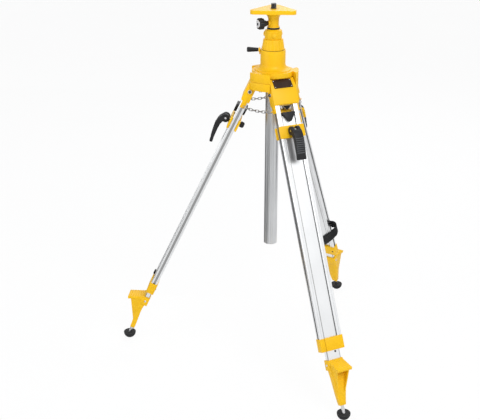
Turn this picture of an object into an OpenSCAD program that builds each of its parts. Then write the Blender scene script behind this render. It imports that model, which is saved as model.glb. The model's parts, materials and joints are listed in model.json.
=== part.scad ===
// Elevating tripod: three clamped two-stage legs, a bell-shaped hub and a cranked centre column.
// Millimetres, +Z up. The origin is the middle of the head plate's top face, on the fixing stud's axis.

/* [Stance] */
// Radius of the circle on which the boots stand
foot_r = 460; // [420:1:500]
// Radius at which the hinge pins cross the legs' middle planes
hinge_r = 53.5; // [52:0.5:56]
// Height of the hinge pins above the ground
hinge_h = 868; // [830:1:900]

/* [Hub] */
// Thickness of the base plate under the bell
base_t = 24; // [22:0.5:28]
// Distance from the column's axis to the flat end of each hub lobe
lobe_flat = 74; // [72:0.5:78]
// Radius that rounds off the hub lobes' corners
lobe_r = 75.5; // [75:0.5:84]
// Distance from the column's axis to the floor of each leg notch
notch_floor = 39.5; // [37:0.5:40]
// Height of the hub flange above the base plate
flange_t = 25; // [25:0.5:30]
// Radius of the round flange over the legs
flange_r = 60; // [56:0.5:64]
// Radius at the foot of the bell's flare
flare_r = 52; // [48:0.5:55]
// Height of the bell's flare
flare_h = 20; // [16:0.5:26]
// Radius of the gear drum on top of the flare
drum_r = 36; // [35:0.25:36.2]
// Height of the gear drum
drum_h = 38; // [37:0.5:46]
// Radius of the cavity inside the gear drum
cavity_r = 30; // [28:0.5:31]
// Radius of the cover at its lower edge
cover_r1 = 32.6; // [31.5:0.1:34]
// Radius of the cover at its upper edge
cover_r2 = 28.2; // [27.8:0.1:30]
// Height of the cover
cover_h = 30; // [26:0.5:36]
// Outside radius of the two guide bushes
bush_r = 26; // [24.5:0.25:26.5]
// Length of each guide bush
bush_l = 21; // [16:0.5:22]
// Distance of the housing screws from the flat end of their lobe
screw_in = 10; // [9:0.5:12]
// Radius of the housing screws
screw_r = 2.5; // [2:0.1:3]
// Depth of the hinge pins in the lobes beside a notch
pin_grip = 5; // [4:0.25:6]
// Height of the groove round the joint of base plate and bell
groove_h = 1.4; // [0.8:0.1:2]
// Depth of that groove
groove_in = 1.8; // [1:0.1:2.4]
// Faint flutes round the cover
cover_flutes = 20; // [12:1:24]

/* [Column] */
// Outside radius of the column tube
column_r = 20; // [19.5:0.1:20.4]
// Wall of the column tube
column_wall = 4; // [3.5:0.1:5]
// Length of the column tube
column_len = 655; // [560:1:700]
// Lift of the column from its lowest place
column_lift = 430; // [300:1:440]
// Shallow flutes round the column
column_flutes = 18; // [12:1:20]
// Width of the rack let into the column
rack_w = 9; // [8:0.5:10]
// Module of the rack and its pinion
gear_m = 1.75; // [1.7:0.01:1.78]
// Teeth on the pinion
gear_n = 12; // [12:1:12]
// Pressure angle of the rack and its pinion
gear_pa = 25; // [24:0.5:26]
// Radius of the cap clamped on the column's upper end
cap_r = 24.5; // [24:0.1:26]
// Height of the cap
cap_h = 28; // [26:0.5:32]

/* [Crank] */
// Distance of the pinion shaft above the drum's lower edge
shaft_up = 25; // [24.5:0.1:25]
// Radius of the pinion shaft
shaft_r = 5; // [4:0.25:5.5]
// Distance between the crank's shaft and its grip
crank_len = 34; // [30:0.5:35]
// Angle of the crank above the horizontal in its stored place
crank_up = 20; // [0:1:45]
// Thickness of the crank arm
arm_t = 4.2; // [3:0.1:4.4]
// Length of the grip
grip_l = 33; // [28:0.5:40]
// Radius of the grip at its outer end
grip_r = 7.4; // [6.5:0.1:8]
// Radius of the grip's spindle
spindle_r = 3; // [2.5:0.1:3.5]

/* [Head] */
// Thickness of the ring between cap and head
ring_t = 5; // [3:0.5:6]
// Radius of the ring between cap and head
ring_r = 18; // [17:0.25:19]
// Radius of the head's neck
neck_r = 15.2; // [15:0.1:16.5]
// Height of the neck up to the head plate
neck_h = 41; // [40:0.5:46]
// Thickness of the head plate
plate_t = 11; // [9:0.5:14]
// Distance of the head plate's corner circles from the axis
plate_d = 58; // [50:0.5:64]
// Radius of the head plate's corners
plate_c = 14; // [10:0.5:18]
// Radius of the fixing stud
stud_r = 7.94; // [7.94:0.01:7.94]
// Height of the fixing stud above the head plate
stud_up = 15; // [12:0.5:20]
// Height of the drive knob's shaft above the ring
knob_up = 12; // [12:0.25:12.5]
// Radius of the drive knob
knob_r = 16; // [14:0.5:18]
// Thickness of the drive knob's rim
knob_t = 13; // [10:0.5:16]
// Radius of the drive knob's shaft
knob_shaft_r = 4; // [3.5:0.1:4.5]

/* [Legs] */
// Width of a leg across both rails
leg_w = 71; // [70:0.5:74]
// Width of one rail
rail_w = 14; // [13:0.25:15]
// Depth of one rail
rail_d = 20; // [19:0.25:22]
// Wall of a rail
rail_wall = 2; // [1.6:0.1:2.4]
// Width of the groove in a rail's side
rail_groove = 7; // [5:0.25:9]
// Width of the fine groove down the flat faces of a rail
rail_line = 1.6; // [1:0.1:2.4]
// Distance along the leg from the hinge to the rails' upper ends
rail_top = 14; // [12:0.5:20]
// Distance along the leg from the hinge to the lower end of the hinge casting
casting_end = 55; // [48:0.5:60]
// Depth of the inner bar
bar_d = 14; // [12:0.5:15]
// Wall of the inner bar
bar_wall = 2.2; // [1.8:0.1:2.8]
// Distance along the leg to the inner bar's upper end
bar_top = 86; // [84:0.5:92]
// Half width of the lower tip of the top guide's tabs
tab_tip = 3; // [2:0.25:6]
// Depth of the inner bar's seat in the foot
bar_seat = 26; // [20:0.5:30]
// Distance along the leg to the clamp bolt
clamp_s = 133; // [128:0.5:140]
// Length of the clamp plates along the leg
clamp_l = 35; // [30:0.5:40]
// Distance along the leg between bracket and foot
bracket_gap = 26; // [20:0.5:32]
// Width that a bracket adds to the rails
bracket_rim = 3.5; // [3:0.25:6]
// Length of the bracket along the leg
bracket_l = 37; // [32:0.5:42]
// Radius of the hinge pins
pin_r = 4; // [3.5:0.1:4.5]
// Radius of the clamp bolts
bolt_r = 4; // [3.5:0.1:4.5]
// Width of a clamp lever
lever_w = 27; // [24:0.5:30]
// Length of a clamp lever from its pin
lever_l = 84; // [70:1:95]
// Radius of a clamp lever's round head
lever_r = 12.4; // [11:0.1:12.6]
// Reach of a clamp lever's knee outward from its pin
lever_knee = 21.5; // [19:0.5:23]
// Radius of a clamp's adjusting knob
adjust_r = 9; // [8:0.25:11]

/* [Feet] */
// Length of a foot casting along the leg
foot_l = 132; // [126:1:138]
// Wall of a foot casting round the inner bar
foot_wall = 3.5; // [3:0.25:5]
// Half width of a foot casting at its tip
foot_tip = 9; // [8:0.25:11]
// How far the foot's spine bows outward
foot_bow = 8; // [4:0.5:10]
// Thickness of the foot's two side webs
web_t = 3.5; // [3:0.25:5]
// Length of the tread outward from the leg's middle
tread_l = 62; // [56:1:80]
// Half width of the tread
tread_half = 23; // [18:0.5:25]
// Thickness of the tread
tread_t = 7; // [6:0.5:12]
// Ribs across the tread
tread_ribs = 7; // [4:1:9]
// Length of the spike between foot and boot, to the boot's centre
spike_show = 23.3; // [20:0.1:30]
// Depth of the spike below the boot's centre
spike_sink = 7; // [4:0.5:10]
// Radius of a spike
spike_r = 5; // [4:0.1:6]
// Radius of a rubber boot
boot_r = 19.5; // [18:0.5:22]
// Height of a boot's rim above its centre
boot_rim = 2; // [0:0.5:6]

/* [Strap] */
// Width of the strap's webbing
strap_w = 30; // [26:1:34]
// Thickness of the strap's webbing
strap_t = 2.2; // [1.8:0.1:2.6]

/* [Fits] */
// Radial clearance of a turning or sliding fit
run = 0.06; // [0.03:0.01:0.09]
// Clearance of a seated piece
seat = 0.02; // [0.01:0.01:0.05]
// Gap between pieces that pass one another
pass = 0.4; // [0.3:0.05:0.6]

/* [Hidden] */
$fn = 64;
leg_az = [180, 300, 60];
lobe_az = [0, 120, 240];
boot_c = boot_r - 0.5;
lean = atan((foot_r - hinge_r) / (hinge_h - boot_c));
leg_len = (hinge_h - boot_c) / cos(lean);
casting_half = leg_w / 2 + 4;
notch_half = casting_half + 2;
flare_rim = 3;
screw_at = lobe_flat - screw_in;

base_z0 = hinge_h - base_t / 2;
base_z1 = base_z0 + base_t;
flange_z = base_z1 + flange_t;
flare_z = flange_z + flare_h;
drum_z = flare_z + drum_h;
cover_z = drum_z + cover_h;
cap_z0 = cover_z + 0.2;
cap_z1 = cap_z0 + cap_h;
ring_z = cap_z1 + ring_t;
neck_z = ring_z + neck_h;
head_h = neck_z + plate_t;
cap_socket = cap_h - 5;
tube_top = cap_z0 + cap_socket;

pitch = PI * gear_m;
pinion_rp = gear_m * gear_n / 2;
addendum = 0.92 * gear_m;
dedendum = 1.2 * gear_m;
rack_pitch_y = column_r - 0.6 + dedendum;
rack_root_y = rack_pitch_y - dedendum;
rack_tip_y = rack_pitch_y + addendum;
shaft_y = rack_pitch_y + pinion_rp;
shaft_z = flare_z + shaft_up;
pinion_w = 12;
pinion_room = pinion_rp + addendum + 0.6;
boss_r = pinion_room + 3.6;
rack_top = cap_z0 - 2;
rack_end = shaft_z - column_lift - 3.5 * pitch;
arm_x1 = drum_r + 0.8;
arm_x2 = arm_x1 + arm_t;
grip_x1 = arm_x2 + 0.8;
grip_x2 = grip_x1 + grip_l;
grip_y = shaft_y - crank_len * cos(crank_up);
grip_z = shaft_z + crank_len * sin(crank_up);

knob_az = 210;
knob_z = ring_z + knob_up;
neck_cavity = neck_r - 3.2;
journal_r = stud_r + 1.1;
bevel_r = 7.5;
bevel_n = 12;
bevel_face = 3.2;
neck_floor = knob_z + bevel_r + 3.5;

rail_y = leg_w / 2 - rail_w / 2;
rail_round = 2;
gap_half = leg_w / 2 - rail_w;
bar_w = 2 * (gap_half - pass);
foot_end = leg_len - spike_show;
foot_s = foot_end - foot_l;
foot_half = bar_w / 2 + foot_wall;
bar_len = foot_s + bar_seat - bar_top;
bracket_s = foot_s - bracket_gap - bracket_l;
rail_end = bracket_s + bracket_l - 3;
casting_out = rail_d / 2 + 3.5;
casting_in = rail_d / 2 + 2.5;
casting_top = [4.1, 21.3];
slope = 45 - lean;
slope_run = (casting_out - casting_top[0]) / sin(slope);
slope_foot = [casting_out, casting_top[1] - slope_run * cos(slope)];
chain_s = 70;
eye_r = 4;
eye_wire = 1.2;
eye_y = casting_half + eye_r;

plate_in = rail_d / 2 + 0.3;
plate_out = plate_in + 5.2;
lever_x = plate_out + lever_r + pass;
tab_half = gap_half - pass - 2;
tread_dz = -foot_s * cos(lean) + 2;
tread_dr = foot_s * sin(lean);
tread_pitch = (tread_l - 8) / tread_ribs;

yellow = [0.98, 0.72, 0.05];
alloy = [0.82, 0.83, 0.85];
black = [0.09, 0.09, 0.10];
steel = [0.62, 0.63, 0.65];

// Ground-based drawing moved so that the head plate's top is at zero.
module stand() {
  translate([0, 0, -head_h]) children();
}

// Leg frame: origin on the hinge pin, -Z along the leg, +X out of its outer face, +Y along the pin.
module leg(i) {
  stand() rotate([0, 0, leg_az[i]]) translate([hinge_r, 0, hinge_h]) rotate([0, -lean, 0]) children();
}

// Turns the leg frame upright again: X is radial and Z vertical.
module upright() {
  rotate([0, lean, 0]) children();
}

// Side profile in X and Z, drawn across Y.
module across(w) {
  rotate([90, 0, 0]) linear_extrude(w, center = true) children();
}

// Front profile in Y and Z, drawn along X.
module outward(w) {
  rotate([90, 0, 90]) linear_extrude(w) children();
}

// Block given by its two corners.
module block(a, b) {
  translate(a) cube(b - a);
}

// Rounded rectangle about the origin.
module rrect(w, d, r) {
  square([w - 2 * r, d], center = true);
  square([w, d - 2 * r], center = true);
  for (x = [-1, 1]) for (y = [-1, 1]) translate([x * (w / 2 - r), y * (d / 2 - r)]) circle(r);
}

// Hub outline with three lobes and a notch for each leg between them.
module lobes(inset = 0) {
  difference() {
    intersection() {
      circle(lobe_r - inset, $fn = 128);
      polygon([for (a = [60, 180, 300]) 2 * (lobe_flat - inset) * [cos(a), sin(a)]]);
    }
    for (a = leg_az) rotate(a) translate([notch_floor, -notch_half]) square([80, 2 * notch_half]);
  }
}

// Slot that lets the rack pass a ring around the column.
module rack_pass(z0, z1) {
  block([-rack_w / 2 - pass, 0, z0], [rack_w / 2 + pass, rack_tip_y + pass, z1]);
}

// Room for the pinion.
module pinion_space() {
  translate([-pinion_w / 2 - 1, shaft_y, shaft_z]) rotate([0, 90, 0]) cylinder(pinion_w + 2, r = pinion_room);
}

// Involute spur outline with slimmed teeth.
function inv(a) = tan(a) * 180 / PI - a;
function flank(rb, r, half) = half + inv(gear_pa) - inv(acos(min(1, rb / r)));
function polar(r, a) = r * [cos(a), sin(a)];
function tooth(rp, rr, rt, half, mid) = let (rb = rp * cos(gear_pa), rs = max(rb, rr)) concat(
  [polar(rr, mid - flank(rb, rs, half) - 0.2)],
  [for (k = [0 : 4]) let (r = rs + (rt - rs) * k / 4) polar(r, mid - flank(rb, r, half))],
  [for (k = [4 : -1 : 0]) let (r = rs + (rt - rs) * k / 4) polar(r, mid + flank(rb, r, half))],
  [polar(rr, mid + flank(rb, rs, half) + 0.2)]);

module spur(rp, n, add, ded, slack, turn) {
  polygon([for (k = [0 : n - 1])
    each tooth(rp, rp - ded, rp + add, 90 / n - slack, turn + 360 * k / n)]);
}

// Straight bevel gear: large end at its pitch radius from the apex, narrowing to the apex along -Z.
module bevel(turn) {
  k = (bevel_r - bevel_face) / bevel_r;
  mirror([0, 0, 1]) translate([0, 0, -bevel_r]) linear_extrude(bevel_face, scale = k)
    spur(bevel_r, bevel_n, 0.5, 1.4, 4, turn);
}

module bell_housing() color(yellow) stand() {
  ceiling = hinge_h + 23.4;
  difference() {
    union() {
      translate([0, 0, base_z1]) linear_extrude(ceiling - base_z1) lobes();
      translate([0, 0, ceiling]) linear_extrude(flange_z - ceiling) {
        lobes();
        circle(flange_r, $fn = 128);
      }
      translate([0, 0, flange_z]) rotate_extrude($fn = 128) polygon(concat([[0, 0], [flare_r, 0]],
        [for (k = [0 : 8]) let (a = 90 * k / 8)
          [drum_r + (flare_r - drum_r) * (1 - sin(a)), flare_rim + (flare_h - flare_rim) * (1 - cos(a))]],
        [[0, flare_h]]));
      translate([0, 0, flare_z]) cylinder(drum_h, r = drum_r, $fn = 128);
      translate([-drum_r + 2, shaft_y, shaft_z]) rotate([0, 90, 0]) cylinder(drum_r + 20, r = boss_r);
      block([-drum_r + 8, 0, shaft_z - boss_r], [18, shaft_y, shaft_z]);
    }
    translate([0, 0, base_z1 - 1]) cylinder(drum_z - base_z1 + 2, r = cavity_r, $fn = 96);
    translate([0, 0, drum_z]) cylinder(2 * boss_r, r = cover_r1 + 0.6, $fn = 96);
    pinion_space();
    translate([-60, shaft_y, shaft_z]) rotate([0, 90, 0]) cylinder(76, r = shaft_r + run);
    translate([-120, shaft_y, shaft_z]) rotate([0, 90, 0])
      cylinder(120 - drum_r - 0.2, r = crank_len + grip_r + 1.2);
    for (a = lobe_az) rotate(a) translate([screw_at, 0, base_z1 - 1]) cylinder(16, r = screw_r + seat);
  }
}

module top_cover() color(yellow) stand() difference() {
  union() {
    translate([0, 0, drum_z]) cylinder(cover_h, cover_r1, cover_r2, $fn = 128);
    translate([0, 0, drum_z - 6]) cylinder(6.5, r = cavity_r - seat, $fn = 96);
  }
  for (k = [0 : cover_flutes - 1]) rotate(360 * (k + 0.5) / cover_flutes)
    translate([cover_r1 + 2.1, 0, drum_z]) rotate([0, -atan((cover_r1 - cover_r2) / cover_h), 0])
      translate([0, 0, 4]) cylinder(cover_h + 4, r = 2.6, $fn = 24);
  translate([0, 0, drum_z - 7]) cylinder(cover_h + 5, r = bush_r, $fn = 96);
  translate([0, 0, drum_z]) cylinder(cover_h + 1, r = column_r + 0.6, $fn = 96);
  rack_pass(drum_z - 7, cover_z + 1);
  pinion_space();
}

module base_plate() color(yellow) stand() difference() {
  union() {
    translate([0, 0, base_z0]) linear_extrude(base_t - groove_h) lobes();
    translate([0, 0, base_z1 - groove_h - 1]) linear_extrude(groove_h + 1) lobes(groove_in);
  }
  translate([0, 0, base_z0 + 2]) cylinder(base_t, r = bush_r, $fn = 96);
  translate([0, 0, base_z0 - 1]) cylinder(base_t, r = column_r + 0.6, $fn = 96);
  rack_pass(base_z0 - 1, base_z1 + 1);
  for (a = leg_az) rotate(a) translate([hinge_r, 0, hinge_h]) rotate([90, 0, 0])
    cylinder(2 * (notch_half + pin_grip + 0.1), r = pin_r + seat, center = true);
  for (a = lobe_az) rotate(a) translate([screw_at, 0, base_z0 - 1]) cylinder(base_t + 2, r = screw_r + seat);
}

module guide_bushes() color([0.2, 0.2, 0.21]) stand()
  for (z = [base_z0 + 2 + seat, cover_z - 2 - bush_l - seat]) difference() {
    translate([0, 0, z]) cylinder(bush_l, r = bush_r - seat, $fn = 96);
    translate([0, 0, z - 1]) cylinder(bush_l + 2, r = column_r + run, $fn = 96);
    rack_pass(z - 1, z + bush_l + 1);
  }

module housing_screws() color(steel) stand() for (a = lobe_az) rotate(a) translate([screw_at, 0, base_z0]) {
  translate([0, 0, -4]) cylinder(4, r = 2 * screw_r);
  translate([0, 0, -1]) cylinder(base_t + 14, r = screw_r);
}

module hinge_pins() color(steel) stand() for (a = leg_az) rotate(a) translate([hinge_r, 0, hinge_h])
  rotate([90, 0, 0]) cylinder(2 * (notch_half + pin_grip), r = pin_r, center = true);

// Chain between two neighbouring legs: links hang in a shallow curve, each turned a quarter to the last.
link_n = 9;
link_wire = 1.1;
link_end = 3.4;
chain_hook = eye_y + eye_r - eye_wire - link_wire - 0.35;
chain_r = hinge_r + chain_s * sin(lean);
chain_z = hinge_h - chain_s * cos(lean);
chain_half = chain_r * sin(60) - chain_hook * cos(60);
chain_mid = chain_r * cos(60) + chain_hook * sin(60);
link_step = (2 * chain_half - 2 * link_wire - 0.5) / link_n;
link_c = link_step - 2 * link_end + 2 * link_wire + 0.5;
chain_sag = 5;

module chain_link() {
  for (s = [-1, 1]) {
    translate([0, s * link_end, 0]) rotate([0, 90, 0])
      cylinder(link_c, r = link_wire, center = true, $fn = 20);
    translate([s * link_c / 2, 0, 0]) rotate([0, 0, -s * 90])
      rotate_extrude(angle = 180, $fn = 32) translate([link_end, 0]) circle(link_wire, $fn = 20);
  }
}

module leg_chains() color(steel) stand() for (a = lobe_az) rotate(a + 90) translate([0, -chain_mid, chain_z])
  for (k = [0 : link_n - 1]) {
    u = (k - (link_n - 1) / 2) * link_step;
    f = u / chain_half;
    translate([u, 0, chain_sag * (f * f - 1)]) rotate([0, -atan(2 * chain_sag * f / chain_half), 0])
      rotate([k % 2 == 0 ? 90 : 0, 0, 0]) chain_link();
  }

module column_tube() color(alloy) stand() difference() {
  translate([0, 0, tube_top - column_len]) cylinder(column_len, r = column_r, $fn = 128);
  translate([0, 0, tube_top - column_len - 1]) cylinder(column_len + 2, r = column_r - column_wall, $fn = 96);
  block([-rack_w / 2 - seat, 0, rack_end - seat], [rack_w / 2 + seat, column_r + 2, rack_top + seat]);
  for (k = [1 : column_flutes - 1]) rotate(90 + 360 * k / column_flutes) translate([column_r + 0.9, 0, 0])
    translate([0, 0, tube_top - column_len - 1]) cylinder(column_len - cap_socket - 1, r = 1.5, $fn = 24);
}

module column_rack() color(steel) stand() {
  n0 = ceil((rack_end - shaft_z) / pitch - 0.5) + 1;
  n1 = floor((rack_top - shaft_z) / pitch - 0.5) - 1;
  half = pitch / 4 - 0.11;
  rise = tan(gear_pa);
  translate([-rack_w / 2, 0, 0]) outward(rack_w) polygon(concat(
    [[column_r - column_wall, rack_end], [rack_root_y, rack_end]],
    [for (k = [n0 : n1]) let (z = shaft_z + (k + 0.5) * pitch) each [
      [rack_root_y, z - half - dedendum * rise], [rack_tip_y, z - half + addendum * rise],
      [rack_tip_y, z + half - addendum * rise], [rack_root_y, z + half + dedendum * rise]]],
    [[rack_root_y, rack_top], [column_r - column_wall, rack_top]]));
}

module column_cap() color(yellow) stand() difference() {
  union() {
    translate([0, 0, cap_z0]) cylinder(cap_h - 4, r = cap_r, $fn = 96);
    translate([0, 0, cap_z1 - 4]) cylinder(4, cap_r, ring_r + 1, $fn = 96);
    translate([0, 0, cap_z1 - 1]) cylinder(ring_t + 3, r = neck_cavity - seat);
    for (a = [40, 160, 280]) rotate(a) translate([0, 0, cap_z0 + 13]) rotate([0, 90, 0])
      cylinder(cap_r + 3, r = 7);
  }
  translate([0, 0, cap_z0 - 1]) cylinder(cap_socket + 1, r = column_r + seat, $fn = 128);
}

module head_ring() color(black) stand() translate([0, 0, cap_z1]) difference() {
  cylinder(ring_t, r = ring_r);
  translate([0, 0, -1]) cylinder(ring_t + 2, r = neck_cavity + seat);
}

module head() color(yellow) stand() difference() {
  union() {
    translate([0, 0, ring_z]) cylinder(3, r = ring_r - 0.5);
    rotate_extrude($fn = 96) polygon(concat([[0, ring_z], [neck_r, ring_z]],
      [for (k = [0 : 6]) let (a = 15 * k) [neck_r + 22 * (1 - cos(a)), neck_z - 19 + 19 * sin(a)]],
      [[0, neck_z]]));
    translate([0, 0, neck_z]) linear_extrude(plate_t) {
      polygon([for (a = [90, 210, 330]) for (b = [-60, 60]) plate_d * [cos(a), sin(a)]
        + plate_c * [cos(a + b), sin(a + b)]]);
      for (a = [90, 210, 330]) rotate(a) translate([plate_d, 0]) circle(plate_c);
    }
    rotate(knob_az) translate([0, 0, knob_z]) rotate([0, 90, 0]) cylinder(18, r = 7.4);
  }
  translate([0, 0, ring_z - 1]) cylinder(neck_floor - ring_z + 1, r = neck_cavity);
  translate([0, 0, ring_z]) cylinder(neck_h + plate_t + 1, r = journal_r + run);
  rotate(knob_az) translate([0, 0, knob_z]) rotate([0, 90, 0]) cylinder(30, r = knob_shaft_r + run);
}

module fixing_stud() color(black) stand() {
  translate([0, 0, knob_z]) bevel(knob_az);
  translate([0, 0, knob_z + bevel_r - 0.5]) cylinder(2, r = bevel_r - 2);
  translate([0, 0, knob_z + bevel_r + 1]) cylinder(neck_floor - knob_z - bevel_r - 1.3, r = journal_r + 1.6);
  translate([0, 0, knob_z + bevel_r + 1]) cylinder(head_h - 0.4 - knob_z - bevel_r - 1, r = journal_r);
  translate([0, 0, head_h - 1]) cylinder(stud_up - 0.6, r = stud_r);
  translate([0, 0, head_h + stud_up - 1.6]) cylinder(1.6, stud_r, stud_r - 1.4);
}

module along_knob() {
  stand() translate([0, 0, knob_z]) rotate(knob_az) rotate([0, 90, 0]) children();
}

module drive_knob() color(black) along_knob() difference() {
  union() {
    translate([0, 0, 18.6]) cylinder(15.5, 5.6, knob_r - 4.5);
    translate([0, 0, 34]) cylinder(knob_t, r = knob_r);
    translate([0, 0, 34 + knob_t - 1]) cylinder(3, r = knob_r - 4);
  }
  for (k = [0 : 5]) rotate(60 * k) translate([knob_r + 5.4, 0, 33]) cylinder(knob_t + 4, r = 7.4);
  translate([0, 0, 18]) cylinder(34 + knob_t, r = knob_shaft_r + seat);
}

module knob_shaft() color(steel) along_knob() {
  bevel(180 + 180 / bevel_n);
  translate([0, 0, bevel_r]) cylinder(2.6, r = 6);
  translate([0, 0, bevel_r + 1]) cylinder(34 + knob_t + 2.5 - bevel_r - 1, r = knob_shaft_r);
}

module along_shaft() {
  stand() translate([0, shaft_y, shaft_z]) rotate([0, -90, 0]) children();
}

module pinion_shaft() color(steel) along_shaft() {
  translate([0, 0, -15.5]) cylinder(15.5 + arm_x2, r = shaft_r);
  translate([0, 0, -pinion_w / 2]) linear_extrude(pinion_w)
    spur(pinion_rp, gear_n, addendum, dedendum, 0.6, -90);
}

module crank_arm() color(yellow) along_shaft() rotate(crank_up - 90) difference() {
  union() {
    translate([0, 0, arm_x1]) cylinder(arm_t, r = 8);
    translate([0, -5.5, arm_x1]) cube([crank_len, 11, arm_t]);
    translate([crank_len, 0, arm_x1]) cylinder(arm_t, r = 6.6);
  }
  translate([0, 0, arm_x1 - 1]) cylinder(arm_t + 2, r = shaft_r + seat);
  translate([crank_len, 0, arm_x1 - 1]) cylinder(arm_t + 2, r = spindle_r + seat);
}

module along_grip() {
  stand() translate([0, grip_y, grip_z]) rotate([0, -90, 0]) children();
}

module grip_spindle() color(steel) along_grip() translate([0, 0, arm_x1]) {
  cylinder(arm_t + grip_l - 1, r = spindle_r);
}

module crank_grip() color(black) along_grip() difference() {
  union() {
    translate([0, 0, grip_x1]) cylinder(grip_l - 3, grip_r - 2.2, grip_r);
    translate([0, 0, grip_x2 - 3]) cylinder(3, grip_r, grip_r - 1.6);
  }
  translate([0, 0, grip_x1 - 1]) cylinder(grip_l + 2 - 1.6, r = spindle_r + run);
}

// Leg pieces, drawn in the leg frame.
module rail_section() {
  difference() {
    rrect(rail_d, rail_w, rail_round);
    translate([0, rail_w / 2]) square([rail_groove, 4], center = true);
    for (s = [-1, 1]) translate([s * rail_d / 2, 0]) square([rail_wall, rail_line], center = true);
    translate([-rail_d / 2 + rail_wall, -rail_w / 2 + rail_wall])
      square([rail_d - 2 * rail_wall, rail_w - 2 * rail_wall - 2 - rail_wall]);
  }
}

module rails() {
  for (s = [0, 1]) mirror([0, s, 0]) translate([0, rail_y, -rail_end])
    linear_extrude(rail_end - rail_top) rail_section();
}

module rail_room(s0, s1) {
  for (s = [-1, 1]) translate([0, s * rail_y, -s1]) linear_extrude(s1 - s0)
    rrect(rail_d + 2 * seat, rail_w + 2 * seat, rail_round);
}

module casting() {
  difference() {
    union() {
      across(2 * casting_half) {
        polygon([casting_top, slope_foot, [casting_out, -casting_end + 3], [casting_out - 2, -casting_end],
          [-casting_in, -casting_end], [-casting_in, 0], [-6, 12], [0, 19]]);
      }
      translate([0, 0, -casting_end / 2 + 5]) rotate([90, 0, 0])
        cylinder(2 * casting_half + 2, r = 7.5, center = true);
      for (s = [-1, 1]) {
        block([-7, s > 0 ? leg_w / 2 + seat : -casting_half, -chain_s - 6],
          [7, s > 0 ? casting_half : -leg_w / 2 - seat, -casting_end + 1]);
        translate([0, s * eye_y, -chain_s]) rotate_extrude($fn = 32) translate([eye_r, 0])
          circle(eye_wire, $fn = 20);
      }
    }
    rotate([90, 0, 0]) cylinder(3 * casting_half, r = pin_r + run, center = true);
    rail_room(rail_top - seat, casting_end + 1);
  }
}

module bracket() {
  difference() {
    translate([0, 0, -bracket_s - bracket_l]) linear_extrude(bracket_l)
      rrect(rail_d + 5, leg_w + bracket_rim, rail_round + 1);
    rail_room(bracket_s - 1, rail_end + seat);
    block([0, -gap_half - 1.2, -bracket_s - bracket_l - 1], [rail_d, -gap_half, -bracket_s + 1]);
    block([-bar_d / 2 - 0.6, -bar_w / 2 - 0.6, -bracket_s - bracket_l - 1],
      [bar_d / 2 + 0.6, bar_w / 2 + 0.6, -bracket_s + 1]);
  }
}

module inner_bar() {
  difference() {
    translate([0, 0, -bar_top - bar_len]) linear_extrude(bar_len) difference() {
      rrect(bar_d, bar_w, 1.6);
      square([bar_d - 2 * bar_wall, bar_w - 2 * bar_wall], center = true);
    }
    translate([0, 0, -clamp_s]) rotate([0, 90, 0]) cylinder(40, r = bolt_r + seat, center = true);
  }
}

module top_guide() {
  block([-bar_d / 2, -gap_half + pass, -bar_top], [bar_d / 2, gap_half - pass, -bar_top + 9]);
  for (s = [0, 1]) mirror([s, 0, 0]) translate([bar_d / 2, 0, 0]) outward(plate_out + 1.5 - bar_d / 2)
    polygon([[-tab_half, -bar_top + 9], [tab_half, -bar_top + 9], [tab_half, -bar_top + 4],
      [tab_tip, -bar_top - 18], [-tab_tip, -bar_top - 18], [-tab_half, -bar_top + 4]]);
}

module clamp_plate() {
  difference() {
    union() {
      translate([plate_in, 0, -clamp_s]) outward(plate_out - plate_in) rrect(leg_w + 8, clamp_l, 4);
      translate([bar_d / 2, 0, -clamp_s]) outward(plate_in - bar_d / 2 + 1)
        square([2 * gap_half - 4, clamp_l - 4], center = true);
    }
    translate([0, 0, -clamp_s]) rotate([0, 90, 0]) cylinder(60, r = bolt_r + seat);
  }
}

module clamp_bolt() {
  translate([-plate_out - 13, 0, -clamp_s]) rotate([0, 90, 0]) cylinder(plate_out + 13 + lever_x, r = bolt_r);
  translate([lever_x, 0, -clamp_s]) rotate([90, 0, 0]) {
    cylinder(9, r = 6, center = true);
    cylinder(lever_w - 1, r = 3, center = true);
  }
}

// Grip ribs along a lever's back, from its tail to its head.
lever_ribs = 8;
function lever_back(f) = [lever_knee - 3 * f - 3 * f * f, -24 - (lever_l - 38) * f];
function lever_rib(k) = let (a = (k + 0.2) / lever_ribs, b = (k + 0.75) / lever_ribs)
  [lever_back(b), lever_back(b) + [1.3, 0.2], lever_back(a) + [1.3, 0.2], lever_back(a)];

module lever() {
  translate([lever_x, 0, -clamp_s]) difference() {
    union() {
      rotate([90, 0, 0]) cylinder(lever_w, r = lever_r, center = true);
      across(lever_w) polygon(concat(
        [[0, -6], [3, -12], [6.5, -22], [7.5, -38], [6.5, -lever_l + 14], [4.5, -lever_l],
        [12.5, -lever_l - 2], [15, -lever_l + 4]], [for (k = [lever_ribs - 1 : -1 : 0]) each lever_rib(k)],
        [[lever_knee - 0.6, -14], [lever_knee - 3.6, -5], [lever_knee - 8.6, 3],
        [0.65 * lever_r, 0.7 * lever_r]]));
    }
    rotate([90, 0, 0]) cylinder(10, r = lever_r + 2, center = true);
    rotate([90, 0, 0]) cylinder(lever_w + 2, r = 3 + run, center = true);
  }
}

module adjuster() {
  translate([-plate_out - pass, 0, -clamp_s]) rotate([0, -90, 0]) difference() {
    union() {
      cylinder(4, 6, 6);
      translate([0, 0, 3]) cylinder(9, adjust_r, adjust_r);
      translate([0, 0, 12]) cylinder(3, adjust_r, adjust_r - 3);
    }
    translate([0, 0, -1]) cylinder(14.4, r = bolt_r + run);
    for (k = [0 : 7]) rotate(45 * k) translate([adjust_r + 1.2, 0, 2]) cylinder(14, r = 2.2, $fn = 24);
  }
}

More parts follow.
